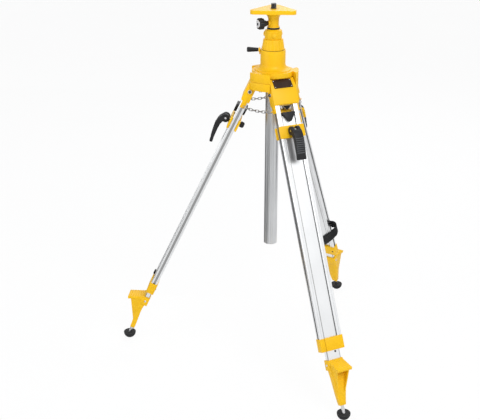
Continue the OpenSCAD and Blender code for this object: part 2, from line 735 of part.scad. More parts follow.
// Foot casting: a bowed spine below the socket, two side webs closing to the tip, and a level ribbed tread.
function bow(f) = 1.6 * foot_bow * sin(180 * f) * (1 - f);
function spine_half(f) = 10.5 - 3.5 * f;
function foot_side(f) = foot_tip + (foot_half - foot_tip) * (1 - pow(f, 1.4));
function foot_at(f) = -foot_s - foot_l * f;
function level(x, z) = [x * cos(lean) - z * sin(lean), x * sin(lean) + z * cos(lean)];
foot_steps = [for (k = [0 : 12]) k / 12];
back_steps = [for (k = [12 : -1 : 0]) k / 12];
web_end = 0.74;

module foot_outline(inset) {
  polygon(concat([for (f = foot_steps) [foot_side(f) - inset, foot_at(f)]],
    [for (f = back_steps) [-foot_side(f) + inset, foot_at(f)]]));
}

module foot() {
  difference() {
    union() {
      block([-bar_d / 2 - foot_wall, -foot_half, -foot_s - bar_seat - 3],
        [bar_d / 2 + foot_wall, foot_half, -foot_s]);
      intersection() {
        across(3 * foot_half) polygon(concat([for (f = foot_steps) [bow(f) + spine_half(f), foot_at(f)]],
          [for (f = back_steps) [bow(f) - spine_half(f), foot_at(f)]]));
        translate([-60, 0, 0]) outward(160) foot_outline(0);
      }
      intersection() {
        upright() across(3 * foot_half) polygon(concat(
          [[tread_dr + tread_l - 9, tread_dz - tread_t + 1],
          level(bow(web_end) + spine_half(web_end), foot_at(web_end))],
          [for (f = [web_end : -0.1 : 0.04]) level(bow(f), foot_at(f))],
          [[tread_dr + 2, tread_dz - tread_t + 1]]));
        translate([-60, 0, 0]) outward(160) difference() {
          foot_outline(2.2);
          foot_outline(2.2 + web_t);
        }
      }
      upright() {
        block([tread_dr - 2, -tread_half, tread_dz - tread_t], [tread_dr + tread_l, tread_half, tread_dz]);
        across(2 * tread_half) for (k = [0 : tread_ribs - 1])
          translate([tread_dr + tread_l - (k + 1) * tread_pitch, tread_dz - 0.5])
            polygon([[0, 0], [tread_pitch, 0], [tread_pitch, 1], [0.55 * tread_pitch, 2.3]]);
      }
    }
    block([-bar_d / 2 - seat, -bar_w / 2 - seat, -foot_s - bar_seat - seat],
      [bar_d / 2 + seat, bar_w / 2 + seat, -foot_s + 40]);
    block([-bar_d / 2 - 20, -3 * foot_half, -foot_s], [bar_d / 2 + foot_wall, 3 * foot_half, -foot_s + 40]);
    translate([0, 0, -foot_end - 4]) cylinder(36, r = spike_r + seat);
  }
}

module spike() {
  translate([0, 0, -leg_len - spike_sink]) cylinder(spike_sink + leg_len - foot_end + 31, r = spike_r);
}

module boot() {
  difference() {
    translate([0, 0, -leg_len]) upright() intersection() {
      sphere(boot_r, $fn = 96);
      translate([0, 0, -boot_c]) cylinder(boot_c + boot_rim, r = boot_r + 2);
    }
    translate([0, 0, -leg_len - spike_sink - seat]) cylinder(40, r = spike_r + seat);
  }
}

module nameplate() color([0.16, 0.1, 0.08]) leg(1) translate([casting_top[0], 0, casting_top[1]])
  rotate([0, -slope, 0]) block([0.02, -casting_half + 10, -31], [1.1, casting_half - 10, -3]);

// Strap: a loose loop of webbing round the rear leg, resting on the bracket and slack on one side.
// Points on its middle line: across the leg's depth, across its width, and up from the bracket.
strap_gap = strap_t / 2 + 0.5;
strap_points = [
  [-rail_d / 2 - strap_gap, -20, 27], [-rail_d / 2 - strap_gap, 2, 21], [-rail_d / 2 - strap_gap, 24, 16.5],
  [-rail_d / 2 - 1.1, leg_w / 2 + 1.1, 16], [0, leg_w / 2 + strap_gap + 0.6, 22],
  [rail_d / 2 + 1.1, leg_w / 2 + 1.1, 31], [rail_d / 2 + strap_gap + 0.3, 22, 50], [rail_d / 2 + 3, -4, 76],
  [rail_d / 2 + 7, -28, 98], [rail_d / 2 + 13, -46, 102], [rail_d / 2 + 9, -60, 88], [1, -59, 66],
  [-rail_d / 2 - 1, -43, 42]];
strap_n = len(strap_points);
strap_step = 4;
function knot(k) = strap_points[(k + strap_n) % strap_n];
function along(k, f) = let (a = knot(k - 1), b = knot(k), c = knot(k + 1), d = knot(k + 2))
  0.5 * (2 * b + (c - a) * f + (2 * a - 5 * b + 4 * c - d) * f * f + (3 * b - a - 3 * c + d) * f * f * f);
function unit(v) = v / norm(v);
strap_line = [for (k = [0 : strap_n - 1]) for (j = [0 : strap_step - 1]) along(k, j / strap_step)];
strap_rings = len(strap_line);
function strap_ring(k) = let (p = strap_line[k],
    t = unit(strap_line[(k + 1) % strap_rings] - strap_line[(k + strap_rings - 1) % strap_rings]),
    n = unit([-t[1], t[0], 0]), w = strap_w / 2 / max(0.72, norm([t[0], t[1]])))
  [for (q = [[-1, -1], [1, -1], [1, 1], [-1, 1]]) p + n * q[0] * strap_t / 2 + [0, 0, q[1] * w]];

module carry_strap() color(black) leg(2) translate([0, 0, -bracket_s]) polyhedron(
  points = [for (k = [0 : strap_rings - 1]) each strap_ring(k)],
  faces = [for (k = [0 : strap_rings - 1]) for (j = [0 : 3]) let (a = 4 * k + j, b = 4 * k + (j + 1) % 4,
    c = 4 * ((k + 1) % strap_rings) + (j + 1) % 4, d = 4 * ((k + 1) % strap_rings) + j)
    each [[a, c, b], [a, d, c]]]);

bell_housing();
top_cover();
base_plate();
guide_bushes();
housing_screws();
hinge_pins();
leg_chains();
column_tube();
column_rack();
column_cap();
head_ring();
head();
fixing_stud();
drive_knob();
knob_shaft();
pinion_shaft();
crank_arm();
grip_spindle();
crank_grip();
nameplate();
carry_strap();
color(yellow) leg(0) casting();  // casting_left
color(alloy) leg(0) rails();  // rails_left
color(yellow) leg(0) bracket();  // bracket_left
color(alloy) leg(0) inner_bar();  // inner_bar_left
color(black) leg(0) top_guide();  // top_guide_left
color(yellow) leg(0) clamp_plate();  // clamp_outer_left
color(yellow) leg(0) mirror([1, 0, 0]) clamp_plate();  // clamp_inner_left
color(steel) leg(0) clamp_bolt();  // clamp_bolt_left
color(black) leg(0) lever();  // lever_left
color(black) leg(0) adjuster();  // adjuster_left
color(yellow) leg(0) foot();  // foot_left
color(steel) leg(0) spike();  // spike_left
color(black) leg(0) boot();  // boot_left
color(yellow) leg(1) casting();  // casting_front
color(alloy) leg(1) rails();  // rails_front
color(yellow) leg(1) bracket();  // bracket_front
color(alloy) leg(1) inner_bar();  // inner_bar_front
color(black) leg(1) top_guide();  // top_guide_front
color(yellow) leg(1) clamp_plate();  // clamp_outer_front
color(yellow) leg(1) mirror([1, 0, 0]) clamp_plate();  // clamp_inner_front
color(steel) leg(1) clamp_bolt();  // clamp_bolt_front
color(black) leg(1) lever();  // lever_front
color(black) leg(1) adjuster();  // adjuster_front
color(yellow) leg(1) foot();  // foot_front
color(steel) leg(1) spike();  // spike_front
color(black) leg(1) boot();  // boot_front
color(yellow) leg(2) casting();  // casting_rear
color(alloy) leg(2) rails();  // rails_rear
color(yellow) leg(2) bracket();  // bracket_rear
color(alloy) leg(2) inner_bar();  // inner_bar_rear
color(black) leg(2) top_guide();  // top_guide_rear
color(yellow) leg(2) clamp_plate();  // clamp_outer_rear
color(yellow) leg(2) mirror([1, 0, 0]) clamp_plate();  // clamp_inner_rear
color(steel) leg(2) clamp_bolt();  // clamp_bolt_rear
color(black) leg(2) lever();  // lever_rear
color(black) leg(2) adjuster();  // adjuster_rear
color(yellow) leg(2) foot();  // foot_rear
color(steel) leg(2) spike();  // spike_rear
color(black) leg(2) boot();  // boot_rear
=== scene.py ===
# %% [markdown]
# # Elevating tripod
# This lesson dresses a finished CAD assembly in Blender. The solids arrive already in place, in metres,
# with the origin on the head plate. We give them finishes, soften their edges and add the small pieces
# that a solid model leaves out: threads, screws, washers and stitches. Small sizes are written in
# millimetres and multiplied by MM where Blender takes them.

# %% Load the frame
import json
import math
import bmesh
import bpy
import numpy as np
from mathutils import Matrix, Vector


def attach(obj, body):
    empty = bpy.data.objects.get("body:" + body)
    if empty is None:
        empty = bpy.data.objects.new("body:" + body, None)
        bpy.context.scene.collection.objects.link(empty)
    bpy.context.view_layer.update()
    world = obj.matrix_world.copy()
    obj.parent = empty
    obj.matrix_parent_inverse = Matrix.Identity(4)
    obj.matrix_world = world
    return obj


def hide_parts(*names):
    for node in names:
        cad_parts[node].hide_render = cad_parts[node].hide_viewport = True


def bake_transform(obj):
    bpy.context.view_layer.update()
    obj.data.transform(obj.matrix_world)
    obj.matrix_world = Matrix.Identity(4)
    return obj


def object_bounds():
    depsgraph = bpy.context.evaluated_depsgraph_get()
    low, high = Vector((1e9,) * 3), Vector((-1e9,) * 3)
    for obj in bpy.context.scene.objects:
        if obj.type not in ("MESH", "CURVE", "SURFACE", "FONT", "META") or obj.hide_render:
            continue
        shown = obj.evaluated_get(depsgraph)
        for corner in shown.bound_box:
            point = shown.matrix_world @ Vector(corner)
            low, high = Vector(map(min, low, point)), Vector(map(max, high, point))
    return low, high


MM = 0.001
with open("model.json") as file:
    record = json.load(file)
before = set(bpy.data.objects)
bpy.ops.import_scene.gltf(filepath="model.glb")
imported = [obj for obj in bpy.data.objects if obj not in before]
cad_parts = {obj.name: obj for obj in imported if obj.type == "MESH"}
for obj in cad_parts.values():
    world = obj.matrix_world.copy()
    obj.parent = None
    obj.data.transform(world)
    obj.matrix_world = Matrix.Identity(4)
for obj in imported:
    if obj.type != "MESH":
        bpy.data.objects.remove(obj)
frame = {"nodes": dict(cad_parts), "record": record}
nodes = frame["nodes"]
cad_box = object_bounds()
scene = bpy.context.scene


def add_object(name, data):
    thing = bpy.data.objects.new(name, data)
    scene.collection.objects.link(thing)
    return thing


def rounded(values):
    return [round(v, 3) for v in values]


print("solids:", len(nodes), "box:", rounded(cad_box[0]), rounded(cad_box[1]))

# %% [markdown]
# ## Camera
# The photograph looks slightly down on the tripod from the front. The legs spread strongly towards the
# viewer, so the lens is only moderately long. The place and angles come from a perspective fit of the
# feet, hinges and head; the image is taken as 480 by 420.

# %% Camera
SENSOR_W, IMAGE_W, FOCAL_PIXELS = 36.0, 480.0, 860.0
LOOK_DOWN, HEADING = 22.39, 4.49  # degrees
camera = add_object("camera", bpy.data.cameras.new("camera"))
camera.data.sensor_width = SENSOR_W
camera.data.lens = FOCAL_PIXELS / IMAGE_W * SENSOR_W
camera.data.clip_end = 50.0
camera.location = (0.097, -2.441, 0.395)
camera.rotation_euler = (math.radians(90.0 - LOOK_DOWN), 0.0, math.radians(HEADING))
scene.camera = camera
scene.view_settings.view_transform = "Standard"
print("camera at", rounded(camera.location))

# %% [markdown]
# ## Node helpers
# Every finish is a small shader tree. A helper that makes a node, sets its inputs and links it keeps each
# finish short enough to read in one go. Sums and noise come up most often and have helpers of their own.

# %% Node helpers
def add_node(tree, kind, inputs=None, **settings):
    node = tree.nodes.new(kind)
    for key, value in settings.items():
        setattr(node, key, value)
    for key, value in (inputs or {}).items():
        if isinstance(value, bpy.types.NodeSocket):
            tree.links.new(value, node.inputs[key])
        else:
            node.inputs[key].default_value = value
    return node


def maths(tree, operation, *values):
    return add_node(tree, "ShaderNodeMath", dict(enumerate(values)), operation=operation).outputs[0]


def noise(tree, where, scale, detail=2.0):
    inputs = {"Vector": where, "Scale": scale, "Detail": detail}
    return add_node(tree, "ShaderNodeTexNoise", inputs).outputs["Fac"]


def ramp(tree, source, stops):
    node = add_node(tree, "ShaderNodeValToRGB", {"Fac": source})
    while len(node.color_ramp.elements) < len(stops):
        node.color_ramp.elements.new(0.5)
    for element, (position, colour) in zip(node.color_ramp.elements, stops):
        element.position = position
        element.color = (*colour, 1.0)
    return node.outputs["Color"]


def span(tree, source, low, high):
    node = add_node(tree, "ShaderNodeMapRange", {"Value": source, "To Min": low, "To Max": high})
    return node.outputs["Result"]


print("node helpers ready")

# %% [markdown]
# ## Finish helpers
# A finish starts as a Principled shader with a few constants. Its colour and roughness are then fed from
# noise on the object's own coordinates, and a bump raises a fine grain on the surface.

# %% Finish helpers
def new_finish(name, **constants):
    finish = bpy.data.materials.new(name)
    finish.use_nodes = True
    tree = finish.node_tree
    shader = tree.nodes["Principled BSDF"]
    for key, value in constants.items():
        shader.inputs[key.replace("_", " ").title().replace("Ior", "IOR")].default_value = value
    where = add_node(tree, "ShaderNodeTexCoord").outputs["Object"]
    return finish, tree, shader, where


def feed(tree, shader, **sockets):
    for key, source in sockets.items():
        tree.links.new(source, shader.inputs[key.replace("_", " ").title()])


def bump(tree, shader, height, strength, distance):
    inputs = {"Height": height, "Strength": strength, "Distance": distance}
    feed(tree, shader, normal=add_node(tree, "ShaderNodeBump", inputs).outputs["Normal"])


def shaded(tint, share):
    return tuple(share * c for c in tint)


print("finish helpers ready")

# %% [markdown]
# ## Floor
# The photograph is a cut-out on white, so the floor should hardly show. It lets most camera and mirror rays
# through to the white behind it and only adds a faint shadow. Legs drawn out past it still show.

# %% Floor
FLOOR_HALF, FLOOR_DROP, FLOOR_CLEAR = 9.0, 0.5 * MM, 0.93


def flat_sheets(name, boxes, z):
    corners = [(x, y, z) for x0, y0, x1, y1 in boxes
               for x, y in ((x0, y0), (x1, y0), (x1, y1), (x0, y1))]
    mesh = bpy.data.meshes.new(name)
    mesh.from_pydata(corners, [], [tuple(range(4 * k, 4 * k + 4)) for k in range(len(boxes))])
    return mesh


def pale_floor():
    finish, tree, shader, where = new_finish("pale_floor", roughness=0.7)
    grain = noise(tree, where, scale=3.0)
    feed(tree, shader, base_color=ramp(tree, grain, [(0.3, (0.88, 0.88, 0.88)), (0.7, (0.92, 0.92, 0.92))]))
    rays = add_node(tree, "ShaderNodeLightPath").outputs
    seen = maths(tree, "MAXIMUM", rays["Is Camera Ray"], rays["Is Glossy Ray"])
    share = maths(tree, "MULTIPLY", seen, FLOOR_CLEAR)
    clear = add_node(tree, "ShaderNodeBsdfTransparent").outputs[0]
    mix = add_node(tree, "ShaderNodeMixShader", {0: share, 1: shader.outputs[0], 2: clear})
    tree.links.new(mix.outputs[0], tree.nodes["Material Output"].inputs["Surface"])
    return finish


floor_z = cad_box[0][2] - FLOOR_DROP
floor_box = (-FLOOR_HALF, -FLOOR_HALF, FLOOR_HALF, FLOOR_HALF)
floor = add_object("floor", flat_sheets("floor", [floor_box], floor_z))
floor.data.materials.append(pale_floor())
print("floor at", round(floor_z, 4))

# %% [markdown]
# ## Background
# The world answers camera and mirror rays, and rays that come through something clear, with plain white. All
# other rays get a softer, bluish light, at a level at which colours come out as written.

# %% World
world = bpy.data.worlds.new("studio")
scene.world = world
world.use_nodes = True
sky = world.node_tree
sky_light = sky.nodes["Background"]
sky_light.inputs["Color"].default_value = (0.86, 0.89, 0.93, 1)
sky_light.inputs["Strength"].default_value = 0.55
plain_white = add_node(sky, "ShaderNodeBackground", {"Color": (1, 1, 1, 1), "Strength": 1.0})
rays = add_node(sky, "ShaderNodeLightPath").outputs
seen = maths(sky, "MAXIMUM", rays["Is Camera Ray"], rays["Is Transmission Ray"])
seen = maths(sky, "MAXIMUM", seen, rays["Is Glossy Ray"])
mix = add_node(sky, "ShaderNodeMixShader", {0: seen, 1: sky_light.outputs[0], 2: plain_white.outputs[0]})
sky.links.new(mix.outputs[0], sky.nodes["World Output"].inputs["Surface"])
print("world:", world.name)

# %% [markdown]
# ## Lamps
# Three soft boxes light the set: a key from the front right, a wide fill from the left, and one from behind
# that draws the outlines of the legs. All of them point at the middle of the tripod.

# %% Lamps
MIDDLE = Vector((0.0, 0.0, -0.5))
LAMPS = {  # place in metres, width and height in metres, watts
    "key": ((1.3, -2.2, 1.7), (1.6, 1.6), 62.0),
    "fill": ((-2.4, -1.4, 0.5), (1.8, 2.4), 26.0),
    "back": ((0.6, 2.4, 1.4), (2.4, 1.4), 36.0),
}
for name, (spot, size, watts) in LAMPS.items():
    lamp = add_object(name, bpy.data.lights.new(name, "AREA"))
    lamp.data.shape = "RECTANGLE"
    lamp.data.size, lamp.data.size_y = size
    lamp.data.energy = watts
    lamp.location = spot
    lamp.rotation_euler = (MIDDLE - Vector(spot)).to_track_quat("-Z", "Y").to_euler()
print("lamps:", list(LAMPS))

# %% [markdown]
# ## Powder coat
# The castings are powder coated: a warm yellow with a fine orange-peel skin that scatters highlights. Edges
# get a paler version, which is a painted highlight.

# %% Powder coat
def powder_coat(name, tint):
    finish, tree, shader, where = new_finish(name, metallic=0.0, specular_ior_level=0.24)
    cloud = noise(tree, where, scale=14.0, detail=4.0)
    peel = noise(tree, where, scale=620.0)
    feed(tree, shader, base_color=ramp(tree, cloud, [(0.3, shaded(tint, 0.90)), (0.7, tint)]),
         roughness=span(tree, peel, low=0.36, high=0.52))
    bump(tree, shader, peel, strength=0.16, distance=0.4 * MM)
    return finish


yellow = powder_coat("yellow_powder_coat", (0.90, 0.515, 0.005))
# The paler coat is a painted highlight on the rounded edges; the column cap's set screws also take it as
# their coat.
pale_yellow_and_edge_highlight = powder_coat("yellow_coat_edge", (0.94, 0.61, 0.030))
print("coats:", yellow.name, pale_yellow_and_edge_highlight.name)

# %% [markdown]
# ## Extruded alloy
# The rails and the column are extruded, so their brushing runs lengthwise: the noise is stretched along the
# profile. A profile can carry bands of painted shade, a darker grey where its grooves and seams lie. A band
# is a stretch of the profile's own x and y. Since only the sizes of x and y count, it lies on both sides
# alike.

# %% Extruded alloy
DRAWN = (900.0, 900.0, 4.0)  # noise cells in a metre, across and along


def extruded_alloy(name, frame_in, tint, shade_bands=()):
    """frame_in leads into the profile's frame; a band of painted shade is (x, reach, y, reach, tone), in
    metres.
    """
    finish, tree, shader, where = new_finish(name, metallic=1.0)
    placed = {"Vector": where, "Location": frame_in.to_translation(), "Rotation": frame_in.to_euler()}
    own = add_node(tree, "ShaderNodeMapping", placed).outputs[0]
    drawn = add_node(tree, "ShaderNodeMapping", {"Vector": own, "Scale": DRAWN}).outputs[0]
    brush = noise(tree, drawn, scale=1.0)
    cloud = noise(tree, own, scale=9.0, detail=3.0)
    tone = ramp(tree, cloud, [(0.3, shaded(tint, 0.93)), (0.7, tint)])
    size = add_node(tree, "ShaderNodeVectorMath", {0: own}, operation="ABSOLUTE").outputs[0]
    axes = add_node(tree, "ShaderNodeSeparateXYZ", {"Vector": size}).outputs
    # Each band mixes in a darker grey: painted shade in a groove or along a seam.
    for x, x_reach, y, y_reach, shade_tone in shade_bands:
        in_x = maths(tree, "COMPARE", axes[0], x, x_reach)
        in_y = maths(tree, "COMPARE", axes[1], y, y_reach)
        layers = {"Factor": maths(tree, "MULTIPLY", in_x, in_y), 6: tone, 7: (shade_tone, shade_tone, shade_tone, 1.0)}
        tone = add_node(tree, "ShaderNodeMix", layers, data_type="RGBA").outputs[2]
    feed(tree, shader, base_color=tone, roughness=span(tree, brush, low=0.24, high=0.38))
    bump(tree, shader, brush, strength=0.04, distance=0.2 * MM)
    return finish


column_alloy = extruded_alloy("column_alloy", Matrix(), (0.64, 0.65, 0.66))
print("alloy:", column_alloy.name)

# %% [markdown]
# ## Plastic and rubber
# Black parts are moulded plastic with a spark-eroded grain, made by the cells of a Voronoi texture. The boots
# are rubber with a coarser grain. Edges and rib tops get a paler version, which is a painted highlight.

# %% Moulded plastic and rubber
FINE, COARSE, PLAIN, CLOTH = 900.0, 500.0, 300.0, 200.0  # grain cells in a metre
ROUGH_SPREAD = 0.08


def moulded(name, tint, rough, grain, depth):
    finish, tree, shader, where = new_finish(name, metallic=0.0, specular_ior_level=0.2)
    cells = add_node(tree, "ShaderNodeTexVoronoi", {"Vector": where, "Scale": grain}).outputs["Distance"]
    cloud = noise(tree, where, scale=40.0, detail=3.0)
    feed(tree, shader, base_color=ramp(tree, cloud, [(0.35, tint), (0.7, shaded(tint, 1.5))]),
         roughness=span(tree, cloud, rough - ROUGH_SPREAD, rough + ROUGH_SPREAD))
    bump(tree, shader, cells, strength=0.25, distance=depth)
    return finish


black = moulded("black_moulding", (0.012, 0.012, 0.013), rough=0.48, grain=FINE, depth=0.3 * MM)
# The next two are paler blacks: painted highlight on rounded edges and on the levers' rib tops.
black_edge_highlight = moulded("black_moulding_edge", (0.036, 0.037, 0.039), rough=0.42, grain=FINE, depth=0.2 * MM)
black_rib_highlight = moulded("worn_moulding", (0.060, 0.062, 0.065), rough=0.40, grain=FINE, depth=0.2 * MM)
rubber = moulded("boot_rubber", (0.014, 0.014, 0.015), rough=0.72, grain=COARSE, depth=0.5 * MM)
# A paler rubber for the boots' rounded edges: painted highlight.
rubber_edge_highlight = moulded("boot_rubber_edge", (0.026, 0.026, 0.028), rough=0.6, grain=COARSE, depth=0.3 * MM)
bush_plastic = moulded("bush_plastic", (0.10, 0.10, 0.10), rough=0.40, grain=FINE, depth=0.2 * MM)
plate_brown = moulded("plate_brown", (0.030, 0.014, 0.009), rough=0.38, grain=PLAIN, depth=0.1 * MM)
flag_cloth = moulded("flag_cloth", (0.05, 0.05, 0.05), rough=0.8, grain=CLOTH, depth=0.2 * MM)
print("mouldings:", black.name, rubber.name, bush_plastic.name)

# %% [markdown]
# ## Steel
# The small fittings are plated or blackened steel. A fine cloud varies their colour and roughness, so that
# their highlights aren't perfectly even.

# %% Steel
def plated(name, tint, low, high):
    finish, tree, shader, where = new_finish(name, metallic=1.0)
    cloud = noise(tree, where, scale=300.0, detail=3.0)
    feed(tree, shader, base_color=ramp(tree, cloud, [(0.3, shaded(tint, 0.85)), (0.7, tint)]),
         roughness=span(tree, cloud, low, high))
    bump(tree, shader, cloud, strength=0.05, distance=0.2 * MM)
    return finish


steel = plated("plated_steel", (0.66, 0.66, 0.67), 0.22, 0.36)
dark_steel = plated("blackened_steel", (0.10, 0.10, 0.105), 0.34, 0.50)
chain_steel = plated("chain_steel", (0.34, 0.34, 0.35), 0.25, 0.40)
bright_steel = plated("turned_steel", (0.80, 0.80, 0.81), 0.18, 0.28)
print("steels:", steel.name, dark_steel.name, chain_steel.name, bright_steel.name)

# %% [markdown]
# ## Dark flags
# Bright metal on a white set has nothing to reflect and turns into flat white. A photographer lays black
# flags beside the set, and the metal then shows them as dark bands. These flags lie on the floor, left,
# behind and to the right, and only mirror rays see them.

# %% Flags
FLAGS = [(-3.0, -2.6, -0.6, 3.2), (-0.6, 0.3, -0.05, 3.2), (1.45, -0.1, 3.0, 0.95)]  # x and y of two corners
FLAG_RISE = 0.2 * MM
flag = add_object("flags", flat_sheets("flags", FLAGS, floor_z + FLAG_RISE))
flag.data.materials.append(flag_cloth)
flag.visible_camera = flag.visible_diffuse = flag.visible_shadow = flag.visible_transmission = False
print("flags:", len(FLAGS))

# %% [markdown]
# ## The legs' own frame
# A leg leans outward from its hinge pin. Working in a frame whose -Z runs down the leg, with +X out of the
# outer face and +Y along the pin, lets one recipe serve all three legs. The same frame tells the alloy where
# the grooves in its rails and the edges of its inner bar are, which get painted shade in a darker grey.

# %% Leg frames
HEAD_H = 1.0782  # heights are over the floor, radii from the column's axis
HINGE_R, HINGE_H, FOOT_R, BOOT_C = 0.0535, 0.868, 0.460, 0.019
LEAN = math.atan((FOOT_R - HINGE_R) / (HINGE_H - BOOT_C))
LEGS = {"left": 180.0, "front": 300.0, "rear": 60.0}  # degrees about the column
RAIL_D, LEG_W, RAIL_GROOVE, BAR_D, BAR_HALF = 0.020, 0.071, 0.007, 0.014, 0.0211
# The two tones below are painted shade: a darker grey in the rails' grooves and along the inner bar's edges
# beside the gaps to the rails.
GROOVE_SHADE, SEAM_SHADE = 0.34, 0.38
PAINTED_SHADE_BANDS = [(0.0, RAIL_GROOVE / 2 + 0.1 * MM, LEG_W / 2 - 1.2 * MM, 1.1 * MM, GROOVE_SHADE),
           (BAR_D / 2 - 0.8 * MM, 0.9 * MM, BAR_HALF - 1.3 * MM, 1.4 * MM, SEAM_SHADE)]


def leg_frame(side):
    hinge = Matrix.Translation((HINGE_R, 0, HINGE_H - HEAD_H))
    return Matrix.Rotation(math.radians(LEGS[side]), 4, "Z") @ hinge @ Matrix.Rotation(-LEAN, 4, "Y")


def on_leg(side, x, y, s):
    """A place in millimetres, s down the leg from its hinge."""
    return leg_frame(side) @ Vector((x * MM, y * MM, -s * MM))


def along_leg(side, x, y, z):
    return leg_frame(side).to_3x3() @ Vector((x, y, z))


LEG_TINT = (0.80, 0.81, 0.82)
leg_alloy = {side: extruded_alloy("leg_alloy_" + side, leg_frame(side).inverted(), LEG_TINT, PAINTED_SHADE_BANDS)
             for side in LEGS}
print("lean of the legs:", round(math.degrees(LEAN), 2), "degrees")

# %% [markdown]
# ## A finish for each solid
# The names of the solids say what they are made of. Castings and mouldings are listed here with the radius of
# their edges, in millimetres, because a later step rounds them. A leg's pieces end in the leg's name.

# %% Give each solid its finish
LEG_CASTINGS = {"casting": 1.6, "bracket": 1.0, "foot": 0.9, "clamp_outer": 0.8, "clamp_inner": 0.8}
HUB_CASTINGS = {"bell_housing": 0.9, "base_plate": 0.9, "top_cover": 0.5, "column_cap": 0.7, "head": 1.0,
                "crank_arm": 0.8}
LEG_MOULDINGS = {"lever": 0.5, "top_guide": 0.6, "adjuster": 0.6}
HUB_MOULDINGS = {"drive_knob": 0.9, "crank_grip": 0.9, "head_ring": 0.6}
BOOT_EDGE = 1.2
SINGLE = {"column_tube": column_alloy, "guide_bushes": bush_plastic, "fixing_stud": dark_steel,
          "carry_strap": black, "nameplate": black}


def finish_for(name):
    piece, _, side = name.rpartition("_")
    if name in HUB_CASTINGS or piece in LEG_CASTINGS:
        return yellow
    if name in HUB_MOULDINGS or piece in LEG_MOULDINGS:
        return black
    if piece in ("rails", "inner_bar"):
        return leg_alloy[side]
    if piece == "boot":
        return rubber
    return SINGLE.get(name, steel)


for name, solid in nodes.items():
    solid.data.materials.clear()
    solid.data.materials.append(finish_for(name))
print("finished solids:", len(nodes))

# %% [markdown]
# ## Making a piece
# A new piece needs three things: a mesh whose place is already in its vertices, a finish and the body that it
# rides on. One helper brings them together, so no piece is left behind
# when the tripod moves. A mesh that already has finishes keeps them.

# %% Piece helpers
BODIES = frame["record"]["behaviour"]["bodies"]
BODY_OF = {node: body for body, names in BODIES.items() for node in names}


def add_piece(name, mesh, finish, body=None):
    piece = add_object(name, mesh)
    if len(mesh.materials) == 0:
        mesh.materials.append(finish)
    if body:
        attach(piece, body)
    return piece


def smooth_mesh(mesh, degrees=32.0):
    mesh.shade_smooth()
    mesh.set_sharp_from_angle(angle=math.radians(degrees))


def plain_mesh(thing, name):
    bpy.context.view_layer.update()
    shown = thing.evaluated_get(bpy.context.evaluated_depsgraph_get())
    mesh = bpy.data.meshes.new_from_object(shown)
    mesh.name = name
    return mesh


def drop_layers(mesh, labels):
    for label in labels:
        if label in mesh.attributes:
            mesh.attributes.remove(mesh.attributes[label])


print("bodies:", len(BODIES))

# %% [markdown]
# ## Cast edges
# A real casting has no sharp edge: the mould rounds it and the powder coat builds up on it. The solid's own
# mesh is copied, its doubles are merged and its flat triangles are joined, and a Bevel modifier rounds what
# is left of the sharp edges. The bevel's strips get a slightly lighter version of the finish, a painted
# highlight.
# The tops of the clamp levers' ribs get a paler finish of their own, also a painted highlight: a face counts
# if it lies above the lever's curved back, along the run of the ribs.

# %% Rounded copies of the solids
DOUBLES, FLAT, SHARP, EDGE_STEPS = 4e-6, math.radians(1.2), math.radians(30.0), 2
SHADING = ("custom_normal", "sharp_edge", "sharp_face")
LEVER_BACK, RIB_FROM, RIB_RUN, RIB_RISE = 49.8 * MM, 157.0 * MM, 46.0 * MM, 1.3 * MM
LEVER_CURVE, RIB_TOP = 3.0 * MM, 0.6


def on_rib(side, spot):
    own = leg_frame(side).inverted() @ spot
    share = (-own.z - RIB_FROM) / RIB_RUN
    back = LEVER_BACK - LEVER_CURVE * (share + share ** 2)
    return 0.0 < share < 1.0 and own.x > back + RIB_TOP * RIB_RISE


def soften(node, edge_mm, finish, edge, rib_highlight_finish=None):
    mesh = nodes[node].data.copy()
    work = bmesh.new()
    work.from_mesh(mesh)
    bmesh.ops.remove_doubles(work, verts=work.verts, dist=DOUBLES)
    bmesh.ops.dissolve_limit(work, angle_limit=FLAT, verts=work.verts, edges=work.edges)
    work.to_mesh(mesh)
    work.free()
    drop_layers(mesh, SHADING)
    mesh.materials.clear()
    for layer in (finish, edge, rib_highlight_finish or edge):
        mesh.materials.append(layer)
    for polygon in mesh.polygons:
        # The third finish, on rib tops, is a painted highlight.
        polygon.material_index = 2 if rib_highlight_finish and on_rib(node.rpartition("_")[2], polygon.center) else 0
    draft = add_object("draft", mesh)
    rounding = draft.modifiers.new("rounding", "BEVEL")
    rounding.width = edge_mm * MM
    rounding.segments = EDGE_STEPS
    rounding.limit_method = "ANGLE"
    rounding.angle_limit = SHARP
    # The bevel's strips take the second finish, a paler one: painted highlight.
    rounding.material = 1
    done = plain_mesh(draft, "soft_" + node)
    bpy.data.objects.remove(draft)
    smooth_mesh(done)
    piece = add_piece("soft_" + node, done, finish, BODY_OF[node])
    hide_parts(node)
    return piece


softened = []
for side in LEGS:
    for part, edge_mm in LEG_CASTINGS.items():
        softened.append(soften(part + "_" + side, edge_mm, yellow, pale_yellow_and_edge_highlight))
    for part, edge_mm in LEG_MOULDINGS.items():
        # Only the levers get a painted highlight on their rib tops.
        lever_highlight = black_rib_highlight if part == "lever" else None
        softened.append(soften(part + "_" + side, edge_mm, black, black_edge_highlight, lever_highlight))
    softened.append(soften("boot_" + side, BOOT_EDGE, rubber, rubber_edge_highlight))
for part, edge_mm in HUB_CASTINGS.items():
    softened.append(soften(part, edge_mm, yellow, pale_yellow_and_edge_highlight))
for part, edge_mm in HUB_MOULDINGS.items():
    softened.append(soften(part, edge_mm, black, black_edge_highlight))
# Counts the rib-top faces that carry the painted highlight.
highlighted_rib_faces = sum(p.material_index == 2 for piece in softened for p in piece.data.polygons)
print("rounded pieces:", len(softened), "rubbed faces:", highlighted_rib_faces)

